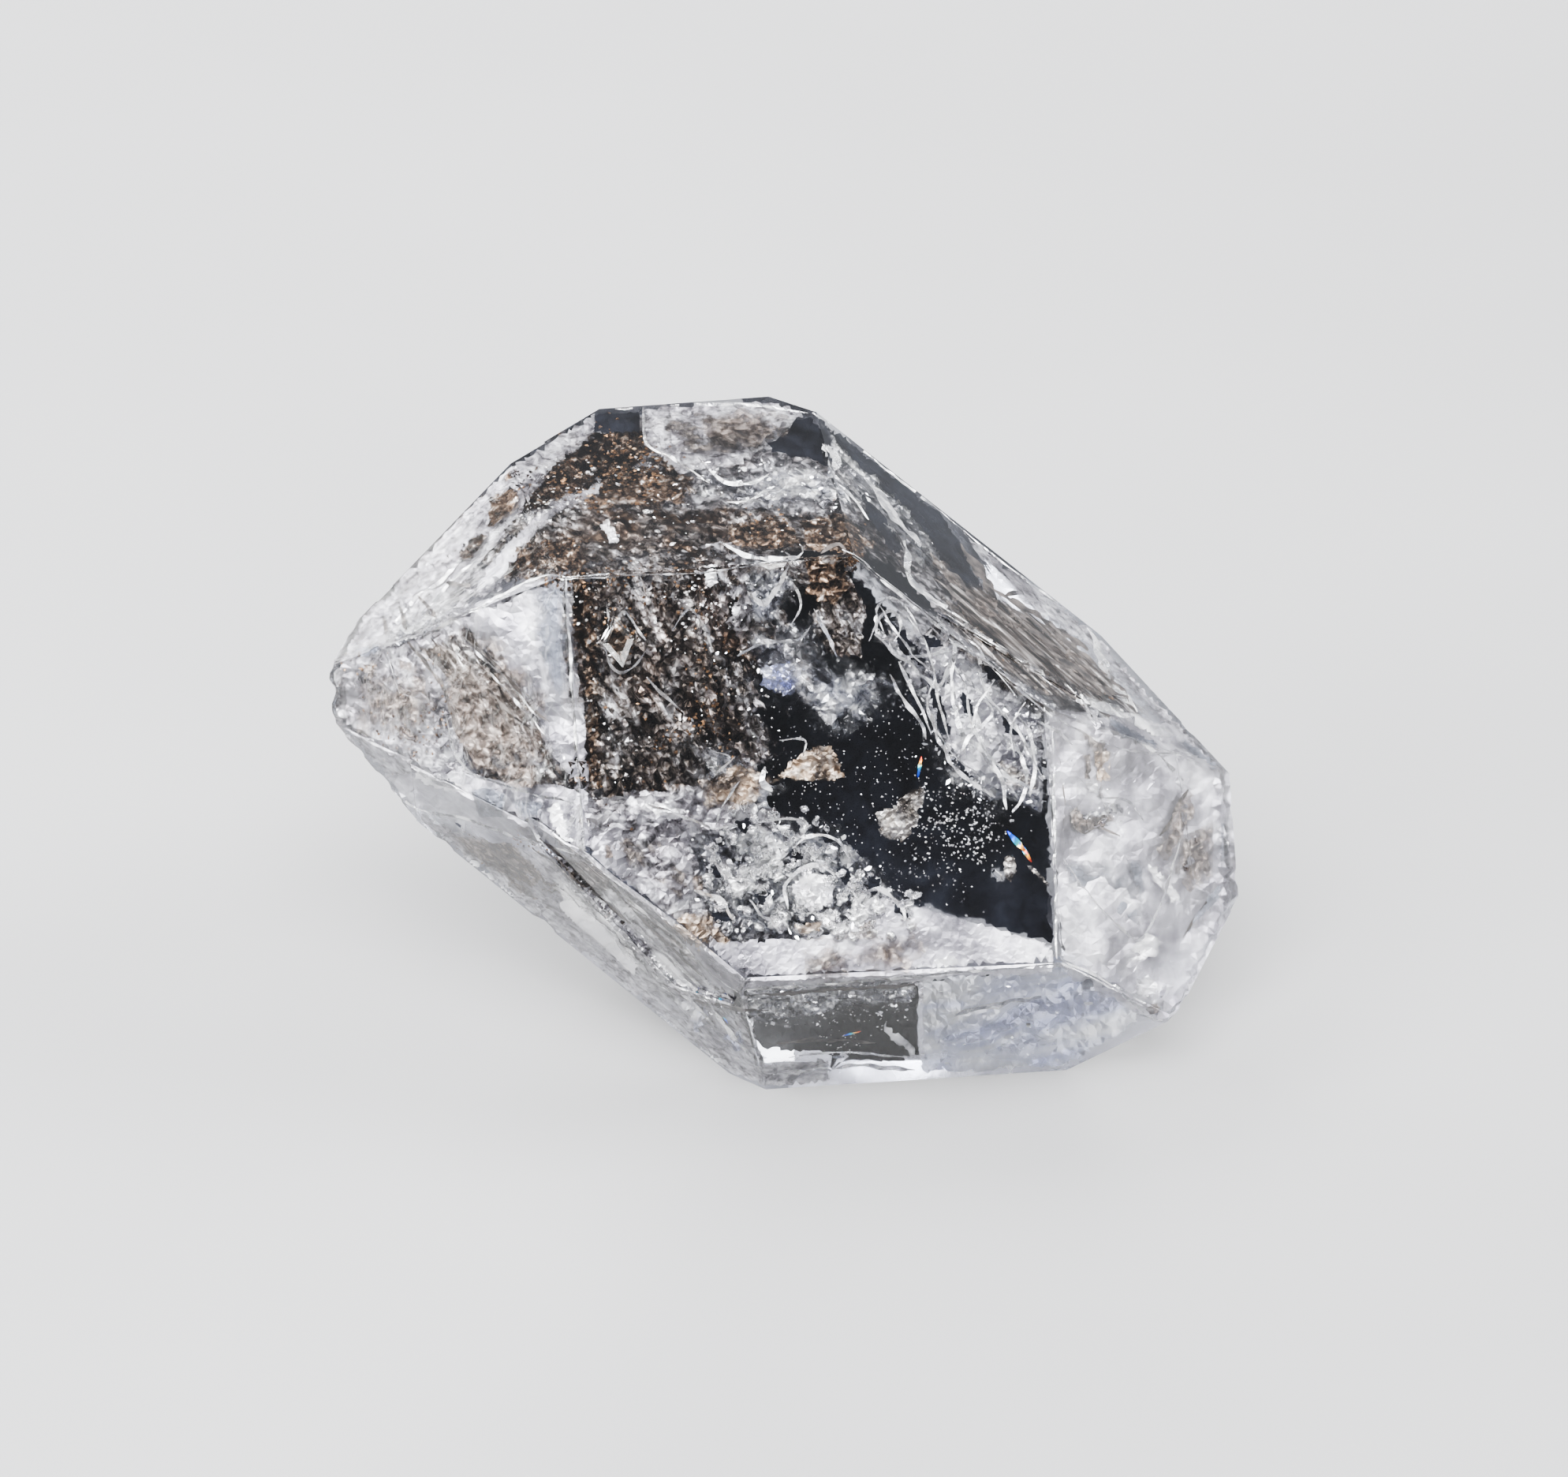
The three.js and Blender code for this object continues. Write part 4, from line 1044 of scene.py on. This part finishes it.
def add_glints():
    """Small flat flakes that lie so that they mirror the key light to the front."""
    rng = random.Random(77)
    verts, faces = [], []
    for outline, (near, deep), count, (small, large), spread in GLINTS:
        tip = math.radians(spread)
        for _ in range(count):
            px, py = random_pixel(rng, pixels(outline))
            centre = inside(px, py, rng.uniform(near, deep))
            size = random_size(rng, small, large, skew=1.6)
            ray = sight_line(px, py)
            outward = SHELL.ray_cast(EYE, ray)[1]
            if centre is None or clearance(centre) < size * 0.7:
                continue
            facing = -bent(ray, outward) - bent((centre - KEY_PLACE).normalized(), outward)
            off = Vector((rng.gauss(0, tip), rng.gauss(0, tip), rng.gauss(0, tip)))
            facing = (facing.normalized() + off).normalized()
            long_way = facing.orthogonal().normalized()
            long_way.rotate(Matrix.Rotation(rng.uniform(0, math.tau), 3, facing))
            wide_way = facing.cross(long_way)
            slim = rng.uniform(0.25, 0.9)
            corners = rng.randint(4, 6)
            start = len(verts)
            for i in range(corners):
                angle = math.tau * (i + rng.uniform(-0.35, 0.35)) / corners
                reach = size * rng.uniform(0.35, 0.6)
                verts.append(centre + (long_way * math.cos(angle) + wide_way * math.sin(angle) * slim) * reach)
            faces.append(tuple(range(start, start + corners)))
    mat = speckled_material(
        "glints", 5000, 3, [(0.35, (0.80, 0.80, 0.84)), (0.6, 1)], [(0.35, 0.05), (0.65, 0.22)], Metallic=1,
    )
    add_piece("glints", verts, faces, mat)


def add_spectrum_flakes():
    """Slim curved flakes whose colours run from blue to red along them."""
    rng = random.Random(3)
    verts, faces, uvs = [], [], []
    cuts = 7
    for (px, py), depth, size, angle in SPECTRUM_FLAKES:
        centre = inside(px, py, depth)
        turn = math.radians(angle)
        long_way = RIGHT * math.cos(turn) + UP * math.sin(turn)
        wide_way = long_way.cross(BACK)
        start = len(verts)
        for i in range(cuts + 1):
            along = (i / cuts - 0.5) * size * MM
            swell = math.sin(math.pi * (i + 0.6) / (cuts + 1.2)) * rng.uniform(0.7, 1.2)
            wide = size * MM * 0.09 * swell
            for side in (-1, 1):
                rise = rng.uniform(-0.02, 0.02) * MM
                verts.append(centre + long_way * along + wide_way * wide * side + BACK * rise)
                uvs.append((i / cuts, (side + 1) / 2))
        for k in range(start, start + 2 * cuts, 2):
            faces.append((k, k + 1, k + 3, k + 2))
    piece = add_piece("spectrum_flakes", verts, faces, spectrum_material())
    layer = piece.data.uv_layers.new(name="bands")
    for loop in piece.data.loops:
        layer.data[loop.index].uv = uvs[loop.vertex_index]


def add_quartz():
    """The crystal itself, with the sharp edges between its faces worn by a hair."""
    form = bmesh.new()
    form.from_mesh(crystal.data)
    form.transform(crystal.matrix_world)
    bmesh.ops.remove_doubles(form, verts=form.verts, dist=2e-6)
    bmesh.ops.dissolve_limit(form, angle_limit=math.radians(0.6), verts=form.verts, edges=form.edges)
    sharp = [e for e in form.edges if len(e.link_faces) == 2 and e.calc_face_angle(0) > math.radians(14)]
    bmesh.ops.bevel(
        form, geom=sharp, offset=EDGE_WEAR, offset_type="OFFSET", segments=2, profile=0.6,
        affect="EDGES", clamp_overlap=True,
    )
    mesh = bpy.data.meshes.new("quartz")
    form.to_mesh(mesh)
    form.free()
    mesh.materials.append(quartz_material())
    piece = bpy.data.objects.new("quartz", mesh)
    bpy.context.scene.collection.objects.link(piece)
    # Clear quartz lets the light through to what lies in it and to the floor.
    piece.visible_shadow = False
    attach(piece, "root")
    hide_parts("crystal")


def add_floor():
    size = 0.6
    corners = [(-size, -size, 0), (size, -size, 0), (size, size, 0), (-size, size, 0)]
    mesh = bpy.data.meshes.new("floor")
    mesh.from_pydata(corners, [], [(0, 1, 2, 3)])
    floor = bpy.data.objects.new("floor", mesh)
    floor.location.z = -0.02 * MM
    tints = [(0.3, (0.30, 0.30, 0.305)), (0.7, (0.325, 0.325, 0.33))]
    mesh.materials.append(speckled_material("pale_floor", 40, 3, tints, Roughness=0.5))
    bpy.context.scene.collection.objects.link(floor)


def add_light(name, place, size, power):
    data = bpy.data.lights.new(name, "AREA")
    data.shape = "RECTANGLE"
    data.size, data.size_y = size
    data.energy = power
    light = bpy.data.objects.new(name, data)
    light.location = place
    light.rotation_euler = (Vector((0, 0, 0.007)) - Vector(place)).to_track_quat("-Z", "Y").to_euler()
    bpy.context.scene.collection.objects.link(light)


def add_world():
    world = bpy.data.worlds.new("studio")
    world.use_nodes = True
    background = world.node_tree.nodes["Background"]
    background.inputs["Color"].default_value = (0.50, 0.515, 0.55, 1)
    background.inputs["Strength"].default_value = 1
    bpy.context.scene.world = world


def add_camera():
    data = bpy.data.cameras.new("camera")
    data.sensor_width = 36
    data.lens = data.sensor_width * VIEW_DISTANCE / VIEW_WIDTH
    data.clip_start = 0.01
    data.clip_end = 10
    camera = bpy.data.objects.new("camera", data)
    camera.location = EYE
    camera.rotation_euler = BACK.to_track_quat("Z", "Y").to_euler()
    bpy.context.scene.collection.objects.link(camera)
    bpy.context.scene.camera = camera


add_camera()
add_world()
add_floor()
add_light("key", KEY_PLACE, (0.30, 0.16), 4.4)
add_light("left", (-0.28, -0.08, 0.24), (0.16, 0.16), 1.15)
add_light("right", (0.29, -0.03, 0.22), (0.16, 0.16), 1.3)
add_light("low_left", (-0.34, -0.16, 0.03), (0.08, 0.20), 0.60)
add_light("low_right", (0.36, -0.04, 0.05), (0.08, 0.20), 0.14)
add_light("low_back", (0.0, 0.36, 0.07), (0.24, 0.12), 0.9)
add_light("back_left", (-0.26, 0.22, 0.14), (0.20, 0.12), 0.9)
add_light("back", (-0.12, 0.20, 0.32), (0.24, 0.10), 1.0)

add_quartz()
add_sheets()
add_grains("brown_grains", speckled_material(
    "brown_grains", 2200, 2,
    [(0.34, (0.012, 0.010, 0.009)), (0.48, (0.07, 0.038, 0.020)), (0.62, (0.24, 0.13, 0.06)),
     (0.72, (0.45, 0.33, 0.22))],
    [(0.3, 0.25), (0.7, 0.5)], Metallic=0.7,
), 7)
add_grains("white_dust", speckled_material(
    "white_dust", 900, 3, [(0.35, (0.62, 0.60, 0.58)), (0.65, (0.97, 0.97, 1))], Metallic=0.9, Roughness=0.35,
), 9)
add_rounded("bubbles", BUBBLES, speckled_material(
    "bubbles", 1800, 4, roughness=[(0.4, 0.02), (0.75, 0.25)],
    Base_Color=(1, 1, 1, 1), Transmission_Weight=1, IOR=QUARTZ_IOR,
), 23, False)
add_rounded("pearls", PEARLS, pearl_material("pearls"), 29, True)
add_threads("threads", pearl_material("threads"), 31)
add_threads("cracks", speckled_material(
    "cracks", 2600, 4, [(0.35, (0.02, 0.018, 0.018)), (0.65, (0.16, 0.14, 0.13))], Metallic=0.6, Roughness=0.5,
), 37)
add_glints()
add_spectrum_flakes()

scene = bpy.context.scene
scene.view_settings.look = "AgX - Medium High Contrast"
scene.cycles.max_bounces = 12
scene.cycles.transmission_bounces = 12
scene.cycles.transparent_max_bounces = 16
scene.cycles.caustics_refractive = False
scene.cycles.caustics_reflective = False
